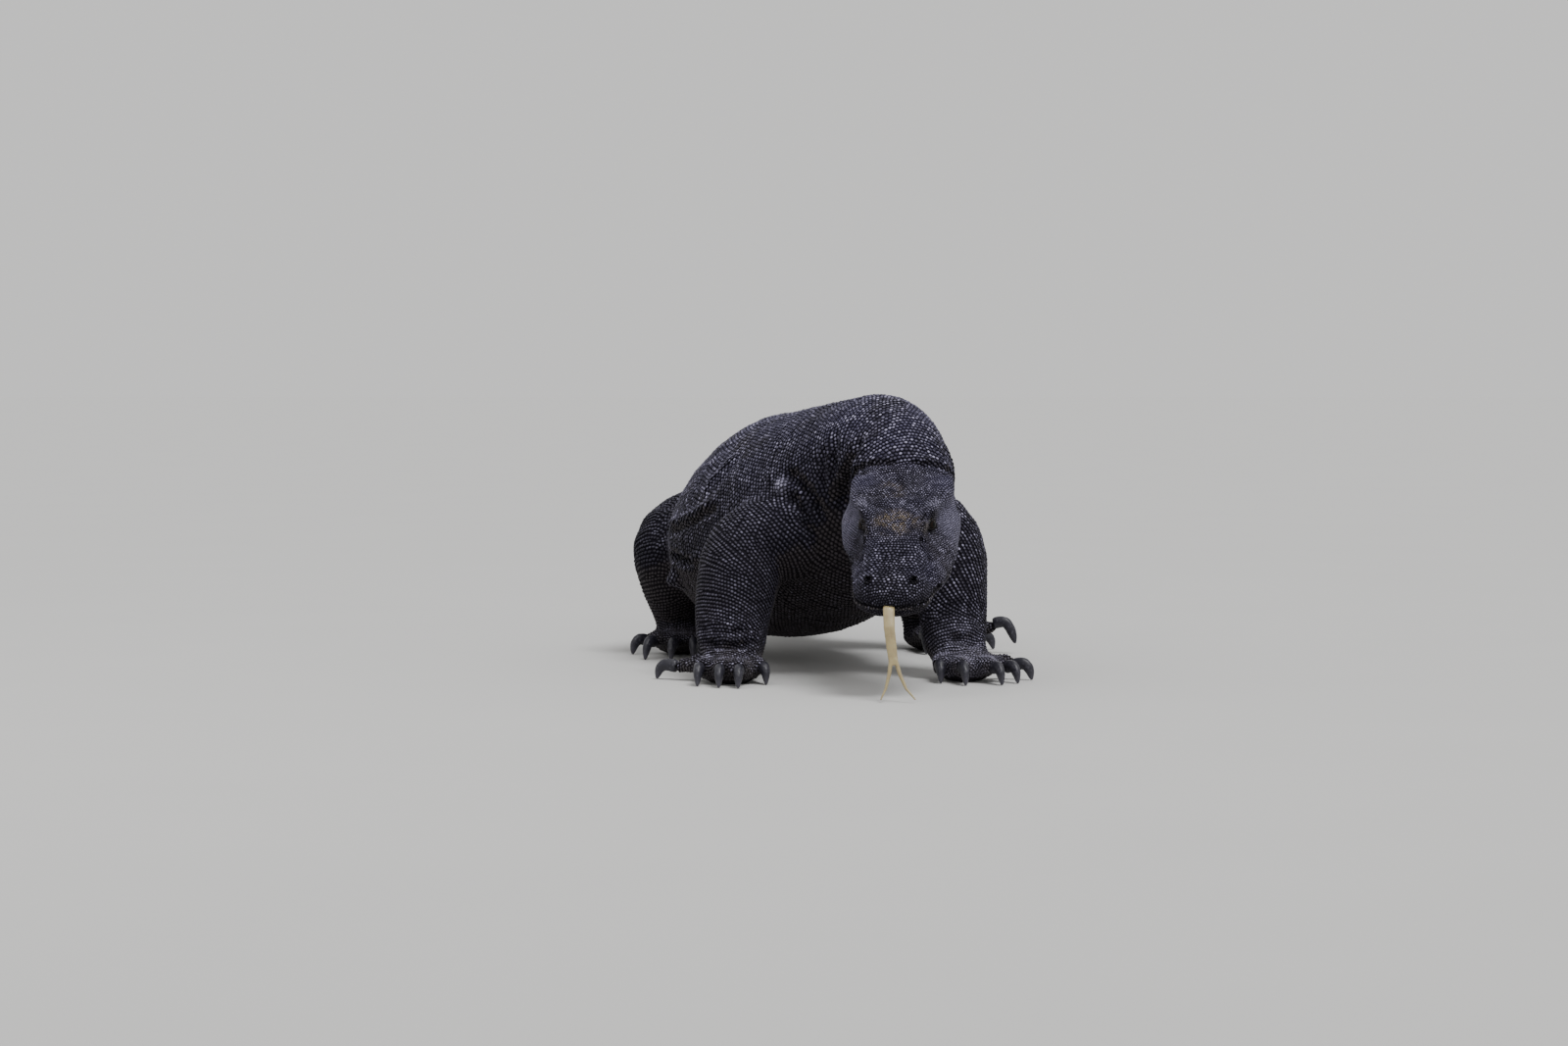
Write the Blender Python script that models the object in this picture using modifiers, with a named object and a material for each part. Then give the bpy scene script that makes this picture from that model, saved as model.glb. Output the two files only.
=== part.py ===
"""A life-size Komodo dragon that stands with its neck arched, its head low and its tongue out.

Lengths are metres and +Z is up. The animal faces -Y, so its left side is at +X. The plan below is
drawn with y = 0 on the line of the fore feet and z = 0 on the ground. At the end everything moves
so that the origin is the middle of the footprint of the whole animal.

The flesh is lofted round the spine, head, limbs and digits, fused into one surface, and parted by
thin cuts where a person would name its pieces. Eyes, tongue and claws are solids of their own.
"""

import math
from dataclasses import dataclass

import bmesh
import bpy
import numpy as np
from mathutils import Matrix, Vector

# Driving sizes
HEAD_LENGTH = 0.230
SEAT_GAP = 0.0009  # clearance round an eye, the tongue and the root of a claw
ROOT_GAP = 0.0009  # clearance between the trunk and the curved roots of neck, tail and legs
CUT_THICKNESS = 0.0004
VOXEL = 0.0045
FLESH_TRIANGLES = 4010
RING_POINTS = 28
EYE_RADIUS = 0.0105
CLAW_SIDES = 6
CLAW_RADIUS = 0.0077
CLAW_TIP_RADIUS = 0.0015
CLAW_TAPER = 2.3  # the higher, the blunter
CLAW_FLATNESS = (0.80, 1.12, 0.90)  # half width, rise and drop of a claw as shares of its radius
CLAW_RINGS = (0, 1, 2, 3, 4, 6)  # of the six steps from root to tip
CLAW_START, CLAW_CROWN, CLAW_HOOK = 0.004, 0.0040, 0.011  # set back, raised and turned down by
WELD = 0.0006
FLAT_ANGLE = math.radians(4.0)
SMALLEST_PIECE = 4e-6  # a crumb of the cuts is smaller than this, in cubic metres
BODY_RELAX, DIGIT_RELAX = 24, 4  # rounds of smoothing after each fusing
SPINE_SLAB_RADIUS, HEAD_SLAB_RADIUS = 0.35, 0.105
GROUND_BLOCK = ((-1, -1, -0.5), (1, 3, 0))

# The trunk's core runs between two stations of the spine; the legs are parted where they leave it
CORE_FIRST, CORE_LAST, CORE_GROW = 3, 11, 0.010
TRUNK_CUTS = (5, 8)  # stations
TAIL_CUTS = ((13, 0.085), (15, 0.070), (17, 0.050), (18, 0.045))  # station, cutter's radius
LIMB_CUTS = ((2, 0.120), (4, 0.072))  # joint, cutter's radius

# The head points down and slightly to its own right
HEAD_PITCH = math.radians(33.0)
HEAD_YAW = math.radians(7.0)
HEAD_ORIGIN = Vector((0.0595, -0.065, 0.247))  # middle of the back of the skull

SKIN_COLOUR = (0.055, 0.052, 0.060)
EYE_COLOUR = (0.035, 0.020, 0.010)
CLAW_COLOUR = (0.060, 0.058, 0.066)
TONGUE_COLOUR = (0.62, 0.50, 0.36)


@dataclass
class Station:
    """One cross-section of a loft: its middle, half width, rise above and drop below."""

    at: tuple
    width: float
    rise: float
    drop: float


@dataclass
class Limb:
    """The joints of a leg, from the body down, and the two radii of the flesh at each of them."""

    name: str
    joints: tuple
    radii: tuple
    pad: tuple  # middle of the hand or foot
    pad_size: tuple
    pad_turn: float  # heading of the pad, in degrees from straight ahead towards +X
    digits: tuple


@dataclass
class Digit:
    """A digit: where it leaves the pad, its raised knuckle, its end and the tip of its claw."""

    root: tuple
    knuckle: tuple
    end: tuple
    claw: tuple
    radius: float


SPINE = (
    Station((0.067, -0.045, 0.258), 0.064, 0.050, 0.058),
    Station((0.063, -0.012, 0.284), 0.068, 0.060, 0.066),
    Station((0.053, 0.030, 0.311), 0.070, 0.068, 0.078),
    Station((0.032, 0.080, 0.320), 0.084, 0.073, 0.104),
    Station((0.008, 0.145, 0.288), 0.114, 0.104, 0.142),
    Station((-0.024, 0.215, 0.246), 0.143, 0.141, 0.164),
    Station((-0.060, 0.290, 0.203), 0.163, 0.172, 0.158),
    Station((-0.093, 0.370, 0.176), 0.172, 0.181, 0.143),
    Station((-0.106, 0.460, 0.170), 0.163, 0.168, 0.132),
    Station((-0.102, 0.550, 0.172), 0.136, 0.146, 0.122),
    Station((-0.090, 0.630, 0.172), 0.112, 0.118, 0.104),
    Station((-0.080, 0.720, 0.162), 0.091, 0.094, 0.086),
    Station((-0.085, 0.830, 0.140), 0.073, 0.079, 0.072),
    Station((-0.108, 0.970, 0.104), 0.059, 0.068, 0.062),
    Station((-0.138, 1.130, 0.066), 0.048, 0.058, 0.054),
    Station((-0.140, 1.300, 0.046), 0.039, 0.049, 0.0475),
    Station((-0.095, 1.470, 0.037), 0.031, 0.041, 0.0385),
    Station((-0.045, 1.640, 0.029), 0.024, 0.033, 0.0305),
    Station((-0.045, 1.810, 0.021), 0.018, 0.024, 0.0225),
    Station((-0.095, 1.970, 0.013), 0.012, 0.016, 0.0145),
    Station((-0.150, 2.090, 0.008), 0.007, 0.009, 0.0095),
)
SPINE_TOP_POWER, SPINE_BOTTOM_POWER = 1.75, 2.1
LEG_PARTS = {"fore": ("upper_arm", "forearm", "hand"), "hind": ("thigh", "shank", "foot")}

# In the head's own frame: x forwards from the back of the skull, y to the left, z upwards
CRANIUM = (
    Station((-0.030, 0, 0), 0.054, 0.038, 0.030),
    Station((0.000, 0, 0), 0.062, 0.043, 0.030),
    Station((0.030, 0, 0), 0.064, 0.044, 0.030),
    Station((0.060, 0, 0), 0.058, 0.044, 0.030),
    Station((0.100, 0, 0), 0.052, 0.042, 0.030),
    Station((0.135, 0, 0), 0.047, 0.035, 0.030),
    Station((0.165, 0, 0), 0.047, 0.029, 0.028),
    Station((0.193, 0, 0), 0.049, 0.026, 0.022),
    Station((0.214, 0, 0), 0.043, 0.020, 0.018),
    Station((0.225, 0, 0), 0.030, 0.012, 0.014),
    Station((HEAD_LENGTH, 0, 0), 0.013, 0.004, 0.008),
)
JAWS = (
    Station((-0.035, 0, -0.008), 0.062, 0.040, 0.042),
    Station((-0.005, 0, -0.009), 0.074, 0.038, 0.046),
    Station((0.025, 0, -0.012), 0.0800, 0.034, 0.046),
    Station((0.060, 0, -0.015), 0.0795, 0.030, 0.042),
    Station((0.100, 0, -0.015), 0.073, 0.026, 0.037),
    Station((0.140, 0, -0.014), 0.062, 0.022, 0.032),
    Station((0.175, 0, -0.013), 0.056, 0.018, 0.028),
    Station((0.200, 0, -0.012), 0.053, 0.016, 0.022),
    Station((0.216, 0, -0.011), 0.044, 0.013, 0.018),
    Station((0.226, 0, -0.010), 0.027, 0.009, 0.012),
)
HEAD_TOP_POWER, HEAD_BOTTOM_POWER = 2.5, 2.2
# The square upper edges of the skull, on both sides: each point with the radius of the ridge there
BROW = (
    (0.046, 0.0465, 0.0360, 0.0090),
    (0.062, 0.0480, 0.0385, 0.0110),
    (0.088, 0.0370, 0.0390, 0.0095),
    (0.130, 0.0310, 0.0295, 0.0060),
)
TEMPLE = (
    (-0.012, 0.0555, 0.0265, 0.0125),
    (0.012, 0.0580, 0.0290, 0.0140),
    (0.040, 0.0560, 0.0310, 0.0115),
)
EYE_AT = (0.092, 0.0405, 0.0300)
NOSTRIL_AT, NOSTRIL_RADII = (0.202, 0.0265, 0.0220), (0.0050, 0.0035, 0.0050)
EAR_AT, EAR_RADII = (0.012, 0.0735, -0.004), (0.009, 0.006, 0.012)
HEAD_CUT = (-0.008, 0, 0)
MOUTH_CORNER, MOUTH_SLOPE = (0.070, 0, -0.025), math.radians(-7.8)

FORE_RADII = ((0.066, 0.070), (0.062, 0.066), (0.060, 0.062), (0.057, 0.056), (0.052, 0.047), (0.045, 0.038))
HIND_RADII = ((0.090, 0.088), (0.076, 0.076), (0.060, 0.060), (0.050, 0.052), (0.042, 0.042), (0.038, 0.036))

LIMBS = (
    Limb(
        "right_fore",
        (
            (-0.060, 0.130, 0.196),
            (-0.112, 0.128, 0.190),
            (-0.153, 0.112, 0.168),
            (-0.165, 0.080, 0.124),
            (-0.171, 0.050, 0.076),
            (-0.172, 0.026, 0.034),
        ),
        FORE_RADII,
        (-0.174, 0.004, 0.020),
        (0.047, 0.054, 0.023),
        -4.0,
        (
            Digit((-0.145, 0.004, 0.020), (-0.134, -0.010, 0.026),
                  (-0.1275, -0.020, 0.018), (-0.124, -0.036, 0.0015), 0.0125),
            Digit((-0.162, -0.020, 0.020), (-0.160, -0.046, 0.027),
                  (-0.160, -0.063, 0.019), (-0.161, -0.090, 0.0015), 0.0130),
            Digit((-0.180, -0.024, 0.020), (-0.184, -0.044, 0.027),
                  (-0.186, -0.056, 0.019), (-0.187, -0.082, 0.0015), 0.0125),
            Digit((-0.198, -0.010, 0.020), (-0.210, -0.024, 0.027),
                  (-0.2135, -0.034, 0.019), (-0.216, -0.058, 0.0015), 0.0125),
            Digit((-0.205, 0.020, 0.018), (-0.232, 0.034, 0.022),
                  (-0.250, 0.046, 0.016), (-0.274, 0.058, 0.0015), 0.0115),
        ),
    ),
    Limb(
        "left_fore",
        (
            (0.050, 0.145, 0.206),
            (0.096, 0.150, 0.203),
            (0.126, 0.143, 0.176),
            (0.131, 0.112, 0.126),
            (0.133, 0.086, 0.078),
            (0.136, 0.062, 0.034),
        ),
        tuple((a * 0.92, b * 0.95) for a, b in FORE_RADII),
        (0.146, 0.040, 0.020),
        (0.046, 0.052, 0.022),
        14.0,
        (
            Digit((0.117, 0.040, 0.020), (0.111, 0.022, 0.027),
                  (0.111, 0.010, 0.020), (0.112, -0.014, 0.0015), 0.0120),
            Digit((0.134, 0.016, 0.020), (0.138, -0.008, 0.028),
                  (0.140, -0.022, 0.020), (0.144, -0.048, 0.0015), 0.0125),
            Digit((0.160, 0.014, 0.020), (0.176, -0.008, 0.027),
                  (0.184, -0.020, 0.019), (0.193, -0.042, 0.0015), 0.0130),
            Digit((0.174, 0.030, 0.020), (0.194, 0.014, 0.025),
                  (0.204, 0.006, 0.018), (0.216, -0.014, 0.0015), 0.0120),
            Digit((0.178, 0.050, 0.020), (0.202, 0.050, 0.027),
                  (0.218, 0.047, 0.018), (0.238, 0.038, 0.0015), 0.0115),
        ),
    ),
    Limb(
        "right_hind",
        (
            (-0.125, 0.625, 0.178),
            (-0.200, 0.555, 0.178),
            (-0.264, 0.482, 0.164),
            (-0.266, 0.490, 0.112),
            (-0.258, 0.512, 0.070),
            (-0.252, 0.527, 0.036),
        ),
        HIND_RADII,
        (-0.252, 0.492, 0.020),
        (0.040, 0.062, 0.022),
        -16.0,
        (
            Digit((-0.226, 0.470, 0.020), (-0.214, 0.446, 0.026),
                  (-0.208, 0.434, 0.019), (-0.203, 0.410, 0.0015), 0.0120),
            Digit((-0.240, 0.452, 0.020), (-0.234, 0.418, 0.027),
                  (-0.232, 0.402, 0.020), (-0.232, 0.376, 0.0015), 0.0120),
            Digit((-0.254, 0.448, 0.020), (-0.258, 0.406, 0.028),
                  (-0.260, 0.388, 0.020), (-0.264, 0.362, 0.0015), 0.0120),
            Digit((-0.268, 0.456, 0.020), (-0.283, 0.412, 0.030),
                  (-0.291, 0.394, 0.022), (-0.302, 0.370, 0.0015), 0.0125),
            Digit((-0.274, 0.500, 0.020), (-0.292, 0.488, 0.026),
                  (-0.306, 0.478, 0.018), (-0.324, 0.464, 0.0015), 0.0115),
        ),
    ),
    Limb(
        "left_hind",
        (
            (-0.045, 0.625, 0.178),
            (0.050, 0.585, 0.180),
            (0.122, 0.545, 0.164),
            (0.124, 0.555, 0.115),
            (0.116, 0.580, 0.070),
            (0.114, 0.592, 0.036),
        ),
        HIND_RADII,
        (0.122, 0.560, 0.020),
        (0.040, 0.060, 0.022),
        30.0,
        (
            Digit((0.106, 0.536, 0.020), (0.104, 0.506, 0.030),
                  (0.107, 0.490, 0.025), (0.111, 0.464, 0.0015), 0.0120),
            Digit((0.122, 0.522, 0.020), (0.132, 0.488, 0.027),
                  (0.137, 0.472, 0.020), (0.143, 0.446, 0.0015), 0.0120),
            Digit((0.138, 0.518, 0.020), (0.156, 0.482, 0.028),
                  (0.164, 0.466, 0.020), (0.174, 0.442, 0.0015), 0.0120),
            Digit((0.152, 0.530, 0.020), (0.192, 0.508, 0.034),
                  (0.216, 0.494, 0.042), (0.243, 0.484, 0.016), 0.0125),
            Digit((0.150, 0.560, 0.020), (0.176, 0.562, 0.025),
                  (0.192, 0.562, 0.018), (0.215, 0.560, 0.0015), 0.0115),
        ),
    ),
)

TONGUE_PATH = (
    (0.0375, -0.2321, 0.1299),
    (0.0345, -0.2560, 0.1175),
    (0.0348, -0.2665, 0.0950),
    (0.0382, -0.2720, 0.0660),
    (0.0405, -0.2760, 0.0470),
)
TONGUE_WIDTHS = (0.0075, 0.0078, 0.0074, 0.0068, 0.0062)
TONGUE_THICKNESS = 0.0028
TINES = (
    ((0.0370, -0.2745, 0.055), (0.0345, -0.279, 0.036), (0.0300, -0.284, 0.018), (0.0235, -0.290, 0.004)),
    ((0.0425, -0.2745, 0.055), (0.0480, -0.279, 0.036), (0.0560, -0.284, 0.018), (0.0680, -0.290, 0.004)),
)
TINE_RADII = (0.0031, 0.0028, 0.0020, 0.0011)


def catmull_rom(rows, samples):
    """Rows of numbers, smoothly interpolated, with this many samples between each two of them."""
    rows = np.array(rows, float)
    ends = np.vstack([2 * rows[0] - rows[1], rows, 2 * rows[-1] - rows[-2]])
    made = []
    for before, start, stop, after in zip(ends, ends[1:], ends[2:], ends[3:]):
        for t in np.arange(samples) / samples:
            made.append(
                0.5
                * (
                    2 * start
                    + (stop - before) * t
                    + (2 * before - 5 * start + 4 * stop - after) * t**2
                    + (3 * start - before - 3 * stop + after) * t**3
                )
            )
    made.append(rows[-1])
    return np.array(made)


def mesh_object(name, points, faces, material=None, collection=None):
    """A mesh object, put in the scene."""
    mesh = bpy.data.meshes.new(name)
    mesh.from_pydata([tuple(p) for p in points], [], faces)
    mesh.validate()
    if material:
        mesh.materials.append(material)
    obj = bpy.data.objects.new(name, mesh)
    (collection or bpy.context.scene.collection).objects.link(obj)
    return obj


def loft(name, middles, widths, rises, drops, powers=(2.0, 2.0), upright=(0, 0, 1), sides=RING_POINTS):
    """A closed tube of superelliptic rings, square to its path, as (points, faces)."""
    middles = np.asarray(middles, float)
    tangents = np.gradient(middles, axis=0)
    tangents /= np.linalg.norm(tangents, axis=1)[:, None]
    points = []
    angles = np.arange(sides) * 2 * math.pi / sides
    for middle, tangent, width, rise, drop in zip(middles, tangents, widths, rises, drops):
        side = np.cross(tangent, upright)
        side /= np.linalg.norm(side)
        above = np.cross(side, tangent)
        for angle in angles:
            c, s = math.cos(angle), math.sin(angle)
            power = powers[0] if s >= 0 else powers[1]
            reach = rise if s >= 0 else drop
            across = width * math.copysign(abs(c) ** (2 / power), c)
            along = reach * math.copysign(abs(s) ** (2 / power), s)
            points.append(middle + side * across + above * along)
    faces = []
    rings = len(middles)
    for ring in range(rings - 1):
        for k in range(sides):
            a, b = ring * sides + k, ring * sides + (k + 1) % sides
            faces.append((a, b, b + sides, a + sides))
    faces.append(tuple(range(sides))[::-1])
    faces.append(tuple(range((rings - 1) * sides, rings * sides)))
    return name, points, faces


def outward(obj):
    """Turns the faces of a closed mesh outwards."""
    made = bmesh.new()
    made.from_mesh(obj.data)
    bmesh.ops.recalc_face_normals(made, faces=made.faces)
    made.to_mesh(obj.data)
    made.free()
    return obj


def spine_loft():
    """Neck, trunk and tail as one loft."""
    rows = catmull_rom([(*s.at, s.width, s.rise, s.drop) for s in SPINE], 5)
    return loft(
        "spine", rows[:, :3], rows[:, 3], rows[:, 4], rows[:, 5], (SPINE_TOP_POWER, SPINE_BOTTOM_POWER)
    )


def head_matrix():
    """From the head's own frame to the plan."""
    forward = Vector(
        (
            -math.sin(HEAD_YAW) * math.cos(HEAD_PITCH),
            -math.cos(HEAD_YAW) * math.cos(HEAD_PITCH),
            -math.sin(HEAD_PITCH),
        )
    )
    left = Vector((math.cos(HEAD_YAW), -math.sin(HEAD_YAW), 0))
    above = forward.cross(left)
    turn = Matrix((forward, left, above)).transposed().to_4x4()
    return Matrix.Translation(HEAD_ORIGIN) @ turn


def head_point(at, side=1):
    """A point of the head's own frame in the plan, on the left (1) or right (-1) side."""
    return head_matrix() @ Vector((at[0], at[1] * side, at[2]))


def head_lofts():
    """Cranium, jaws, and the ridges of brow and temple on both sides."""
    made = []
    for name, stations in (("cranium", CRANIUM), ("jaws", JAWS)):
        rows = catmull_rom([(*s.at, s.width, s.rise, s.drop) for s in stations], 4)
        name, points, faces = loft(
            name, rows[:, :3], rows[:, 3], rows[:, 4], rows[:, 5], (HEAD_TOP_POWER, HEAD_BOTTOM_POWER)
        )
        made.append((name, [head_matrix() @ Vector(p) for p in points], faces))
    for ridge in (BROW, TEMPLE):
        rows = catmull_rom(ridge, 3)
        for side in (1, -1):
            middles = [head_point(row[:3], side) for row in rows]
            made.append(loft("ridge", middles, rows[:, 3], rows[:, 3], rows[:, 3], sides=14))
    return made


def limb_lofts(limb):
    """The fleshy part of a leg, with its hand or foot pad."""
    rows = catmull_rom([(*p, *r) for p, r in zip(limb.joints, limb.radii)], 4)
    leg = loft(limb.name, rows[:, :3], rows[:, 3], rows[:, 4], rows[:, 4], upright=(0, 1, 0.2))
    return [leg]


def pad_object(limb):
    """The flattened ball of a hand or foot."""
    bpy.ops.mesh.primitive_uv_sphere_add(segments=24, ring_count=14, radius=1)
    pad = bpy.context.object
    pad.name = limb.name + "_pad"
    pad.data.transform(
        Matrix.Translation(limb.pad)
        @ Matrix.Rotation(math.radians(limb.pad_turn), 4, "Z")
        @ Matrix.Diagonal((*limb.pad_size, 1))
    )
    return pad


def digit_loft(digit):
    """A digit from inside its pad to the root of its claw."""
    radius = digit.radius
    rows = catmull_rom(
        [
            (*digit.root, radius * 1.15),
            (*digit.knuckle, radius),
            (*digit.end, radius * 0.80),
        ],
        4,
    )
    return loft("digit", rows[:, :3], rows[:, 3], rows[:, 3], rows[:, 3], sides=14)


def claw_rows(digit):
    """The centres and radii of a claw, which starts a little inside the digit and hooks down."""
    end, tip = np.array(digit.end), np.array(digit.claw)
    run = (tip - end)[:2]
    ahead = np.array([*run, 0.0]) / np.linalg.norm(run)
    reach = np.linalg.norm(run)
    start = end + (0, 0, 0.0015) - ahead * CLAW_START
    crown = end + ahead * reach * 0.50 + (0, 0, CLAW_CROWN)
    hook = tip - ahead * reach * 0.12 + (0, 0, CLAW_HOOK)
    path = catmull_rom([start, crown, hook, tip], 2)[list(CLAW_RINGS)]
    radii = CLAW_RADIUS * (1 - (np.array(CLAW_RINGS) / CLAW_RINGS[-1]) ** CLAW_TAPER) + CLAW_TIP_RADIUS
    return path, radii


def claw_object(name, digit, material, grow=0.0, collection=None):
    """A claw as a closed, curved cone, or the same shape grown by a clearance as a cutter."""
    path, radii = claw_rows(digit)
    if grow:
        path[0] -= (path[1] - path[0]) * 0.15
    width, rise, drop = (radii * share + grow for share in CLAW_FLATNESS)
    shape = loft(name, path, width, rise, drop, sides=CLAW_SIDES)
    return outward(mesh_object(*shape, material, collection))


def tongue_object(name, material):
    """The forked tongue: a flat blade and two tines, joined by a union."""
    blade = tongue_blade(name, material=material)
    for number, tine in enumerate(TINES):
        rows = catmull_rom([(*p, r) for p, r in zip(tine, TINE_RADII)], 1)
        radii = rows[:, 3]
        shape = loft(f"tine_{number}", rows[:, :3], radii, radii, radii, upright=(0, 1, 0), sides=6)
        other = outward(mesh_object(*shape))
        join = blade.modifiers.new("fork", "BOOLEAN")
        join.operation, join.object = "UNION", other
        freeze(blade)
        bpy.data.objects.remove(other)
    return blade


def freeze(obj):
    """Replaces an object's mesh by what its modifiers make of it."""
    graph = bpy.context.evaluated_depsgraph_get()
    graph.update()
    mesh = bpy.data.meshes.new_from_object(obj.evaluated_get(graph))
    obj.modifiers.clear()
    old = obj.data
    obj.data = mesh
    bpy.data.meshes.remove(old)
    return obj


def fused(name, shapes, voxel):
    """One closed surface round all these closed shapes."""
    points, faces = [], []
    for shape_points, shape_faces in shapes:
        faces += [tuple(len(points) + i for i in face) for face in shape_faces]
        points += [tuple(p) for p in shape_points]
    obj = outward(mesh_object(name, points, faces))
    remesh = obj.modifiers.new("fuse", "REMESH")
    remesh.mode, remesh.voxel_size = "VOXEL", voxel
    return freeze(obj)


def relax(obj, weights, steps):
    """Smooths a mesh, each vertex by its own weight from 0 to 1."""
    mesh = obj.data
    co = np.empty(len(mesh.vertices) * 3)
    mesh.vertices.foreach_get("co", co)
    co = co.reshape(-1, 3)
    edges = np.empty(len(mesh.edges) * 2, int)
    mesh.edges.foreach_get("vertices", edges)
    a, b = edges.reshape(-1, 2).T
    count = np.bincount(a, minlength=len(co)) + np.bincount(b, minlength=len(co))
    strength = weights(co)[:, None] * 0.5
    for _ in range(steps):
        total = np.zeros_like(co)
        for axis in range(3):
            total[:, axis] = np.bincount(a, co[b, axis], len(co)) + np.bincount(b, co[a, axis], len(co))
        co += (total / count[:, None] - co) * strength
    mesh.vertices.foreach_set("co", co.ravel())
    mesh.update()


def soft_weights(co):
    """Full smoothing where a leg or the neck joins the trunk, little on the head, none on the tail end."""
    joins = [(limb.joints[0], 0.16) for limb in LIMBS] + [(SPINE[3].at, 0.10)]
    weight = np.full(len(co), 0.12)
    for at, radius in joins:
        far = np.linalg.norm(co - np.array(at), axis=1) / radius
        weight = np.maximum(weight, np.clip(1.9 - far, 0.12, 1.0))
    weight[co[:, 2] < 0.05] *= 0.4
    weight[co[:, 1] > 1.1] *= 0.3
    return weight


def mesh_shape(obj):
    """An object's points and faces, with the object removed."""
    shape = [v.co.copy() for v in obj.data.vertices], [tuple(p.vertices) for p in obj.data.polygons]
    bpy.data.objects.remove(obj)
    return shape


def flesh_object():
    """The whole body as one closed surface of few triangles."""
    shapes = [spine_loft()[1:]] + [shape[1:] for shape in head_lofts()]
    for limb in LIMBS:
        shapes += [shape[1:] for shape in limb_lofts(limb)]
        shapes.append(mesh_shape(pad_object(limb)))
    body = fused("flesh", shapes, VOXEL)
    relax(body, soft_weights, BODY_RELAX)
    shapes = [mesh_shape(body)] + [digit_loft(digit)[1:] for limb in LIMBS for digit in limb.digits]
    body = fused("flesh", shapes, VOXEL)
    relax(body, lambda co: np.full(len(co), 0.5), DIGIT_RELAX)
    thin = body.modifiers.new("thin", "DECIMATE")
    body.data.calc_loop_triangles()
    thin.ratio = FLESH_TRIANGLES / len(body.data.loop_triangles)
    thin.use_collapse_triangulate = True
    return freeze(body)


def keep_in(collection, obj):
    """Moves an object from its collections to another."""
    for owner in list(obj.users_collection):
        owner.objects.unlink(obj)
    collection.objects.link(obj)
    return obj


def hide_as_cutter(cutter, collection):
    """Moves a cutter to its collection and out of the render."""
    keep_in(collection, cutter)
    cutter.hide_render = True
    cutter.display_type = "WIRE"
    return cutter


def slab(at, normal, radius, collection):
    """A thin round cutter that parts the flesh across a limb or the spine."""
    bpy.ops.mesh.primitive_cylinder_add(vertices=24, radius=radius, depth=CUT_THICKNESS)
    cutter = bpy.context.object
    turn = Vector((0, 0, 1)).rotation_difference(Vector(normal)).to_matrix().to_4x4()
    cutter.data.transform(Matrix.Translation(at) @ turn)
    return hide_as_cutter(cutter, collection)


def block(matrix, low, high, collection):
    """A box cutter between two corners, in the frame that the matrix gives."""
    bpy.ops.mesh.primitive_cube_add(size=1)
    cutter = bpy.context.object
    low, high = Vector(low), Vector(high)
    cutter.data.transform(matrix @ Matrix.Translation((low + high) / 2) @ Matrix.Diagonal((*(high - low), 1)))
    return hide_as_cutter(cutter, collection)


def ball(name, at, radii, turn=None, segments=8, rings=6):
    """An ellipsoid of the head, as an eye or as a cutter."""
    bpy.ops.mesh.primitive_uv_sphere_add(segments=segments, ring_count=rings, radius=1)
    obj = bpy.context.object
    obj.name = name
    place = Matrix.Translation(at) @ (turn or Matrix.Identity(4))
    obj.data.transform(place @ Matrix.Diagonal((*radii, 1)))
    return obj


def trunk_core(name, inset):
    """The trunk's own room, less an inset: legs, neck and tail are what lies outside it."""
    grow = CORE_GROW - inset
    stations = SPINE[CORE_FIRST : CORE_LAST + 1]
    rows = np.array([(*s.at, s.width + grow, s.rise + grow, s.drop + grow) for s in stations])
    for end, inner in ((0, 1), (-1, -2)):
        run = rows[inner, :3] - rows[end, :3]
        rows[end, :3] += run * inset / np.linalg.norm(run)
    shape = loft(
        name, rows[:, :3], rows[:, 3], rows[:, 4], rows[:, 5], (SPINE_TOP_POWER, SPINE_BOTTOM_POWER), sides=20
    )
    return outward(mesh_object(*shape))


def add_trunk_cutters(collection):
    """The slabs that part the trunk, and the ground."""
    for index in TRUNK_CUTS:
        ahead, behind = Vector(SPINE[index - 1].at), Vector(SPINE[index + 1].at)
        slab(SPINE[index].at, behind - ahead, SPINE_SLAB_RADIUS, collection)
    block(Matrix.Identity(4), *GROUND_BLOCK, collection)


def add_outer_cutters(collection):
    """Everything that cuts head, neck, tail and legs: slabs, mouth, openings, seats and the ground."""
    for index, radius in TAIL_CUTS:
        ahead, behind = Vector(SPINE[index - 1].at), Vector(SPINE[index + 1].at)
        slab(SPINE[index].at, behind - ahead, radius, collection)
    matrix = head_matrix()
    slab(head_point(HEAD_CUT), matrix.to_3x3() @ Vector((1, 0, 0.25)), HEAD_SLAB_RADIUS, collection)
    jaw = matrix @ Matrix.Translation(MOUTH_CORNER) @ Matrix.Rotation(MOUTH_SLOPE, 4, "Y")
    half = CUT_THICKNESS / 2
    block(jaw, (-half, -0.1, -half), (0.2, 0.1, half), collection)
    block(jaw, (-half * 0.9, -0.095, -0.08), (half * 0.9, 0.095, 0), collection)
    turn = matrix.to_3x3().to_4x4()
    for side in (1, -1):
        openings = (
            ball("nostril_cut", head_point(NOSTRIL_AT, side), NOSTRIL_RADII, turn, 6, 4),
            ball("ear_cut", head_point(EAR_AT, side), EAR_RADII, turn),
            ball("eye_cut", head_point(EYE_AT, side), (EYE_RADIUS + SEAT_GAP,) * 3),
        )
        for opening in openings:
            hide_as_cutter(opening, collection)
    for limb in LIMBS:
        for joint, radius in LIMB_CUTS:
            before, after = Vector(limb.joints[joint - 1]), Vector(limb.joints[joint + 1])
            slab(limb.joints[joint], after - before, radius, collection)
        for digit in limb.digits:
            hide_as_cutter(claw_object("claw_cut", digit, None, SEAT_GAP), collection)
    hide_as_cutter(tongue_blade("tongue_cut", SEAT_GAP), collection)
    block(Matrix.Identity(4), *GROUND_BLOCK, collection)


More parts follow.
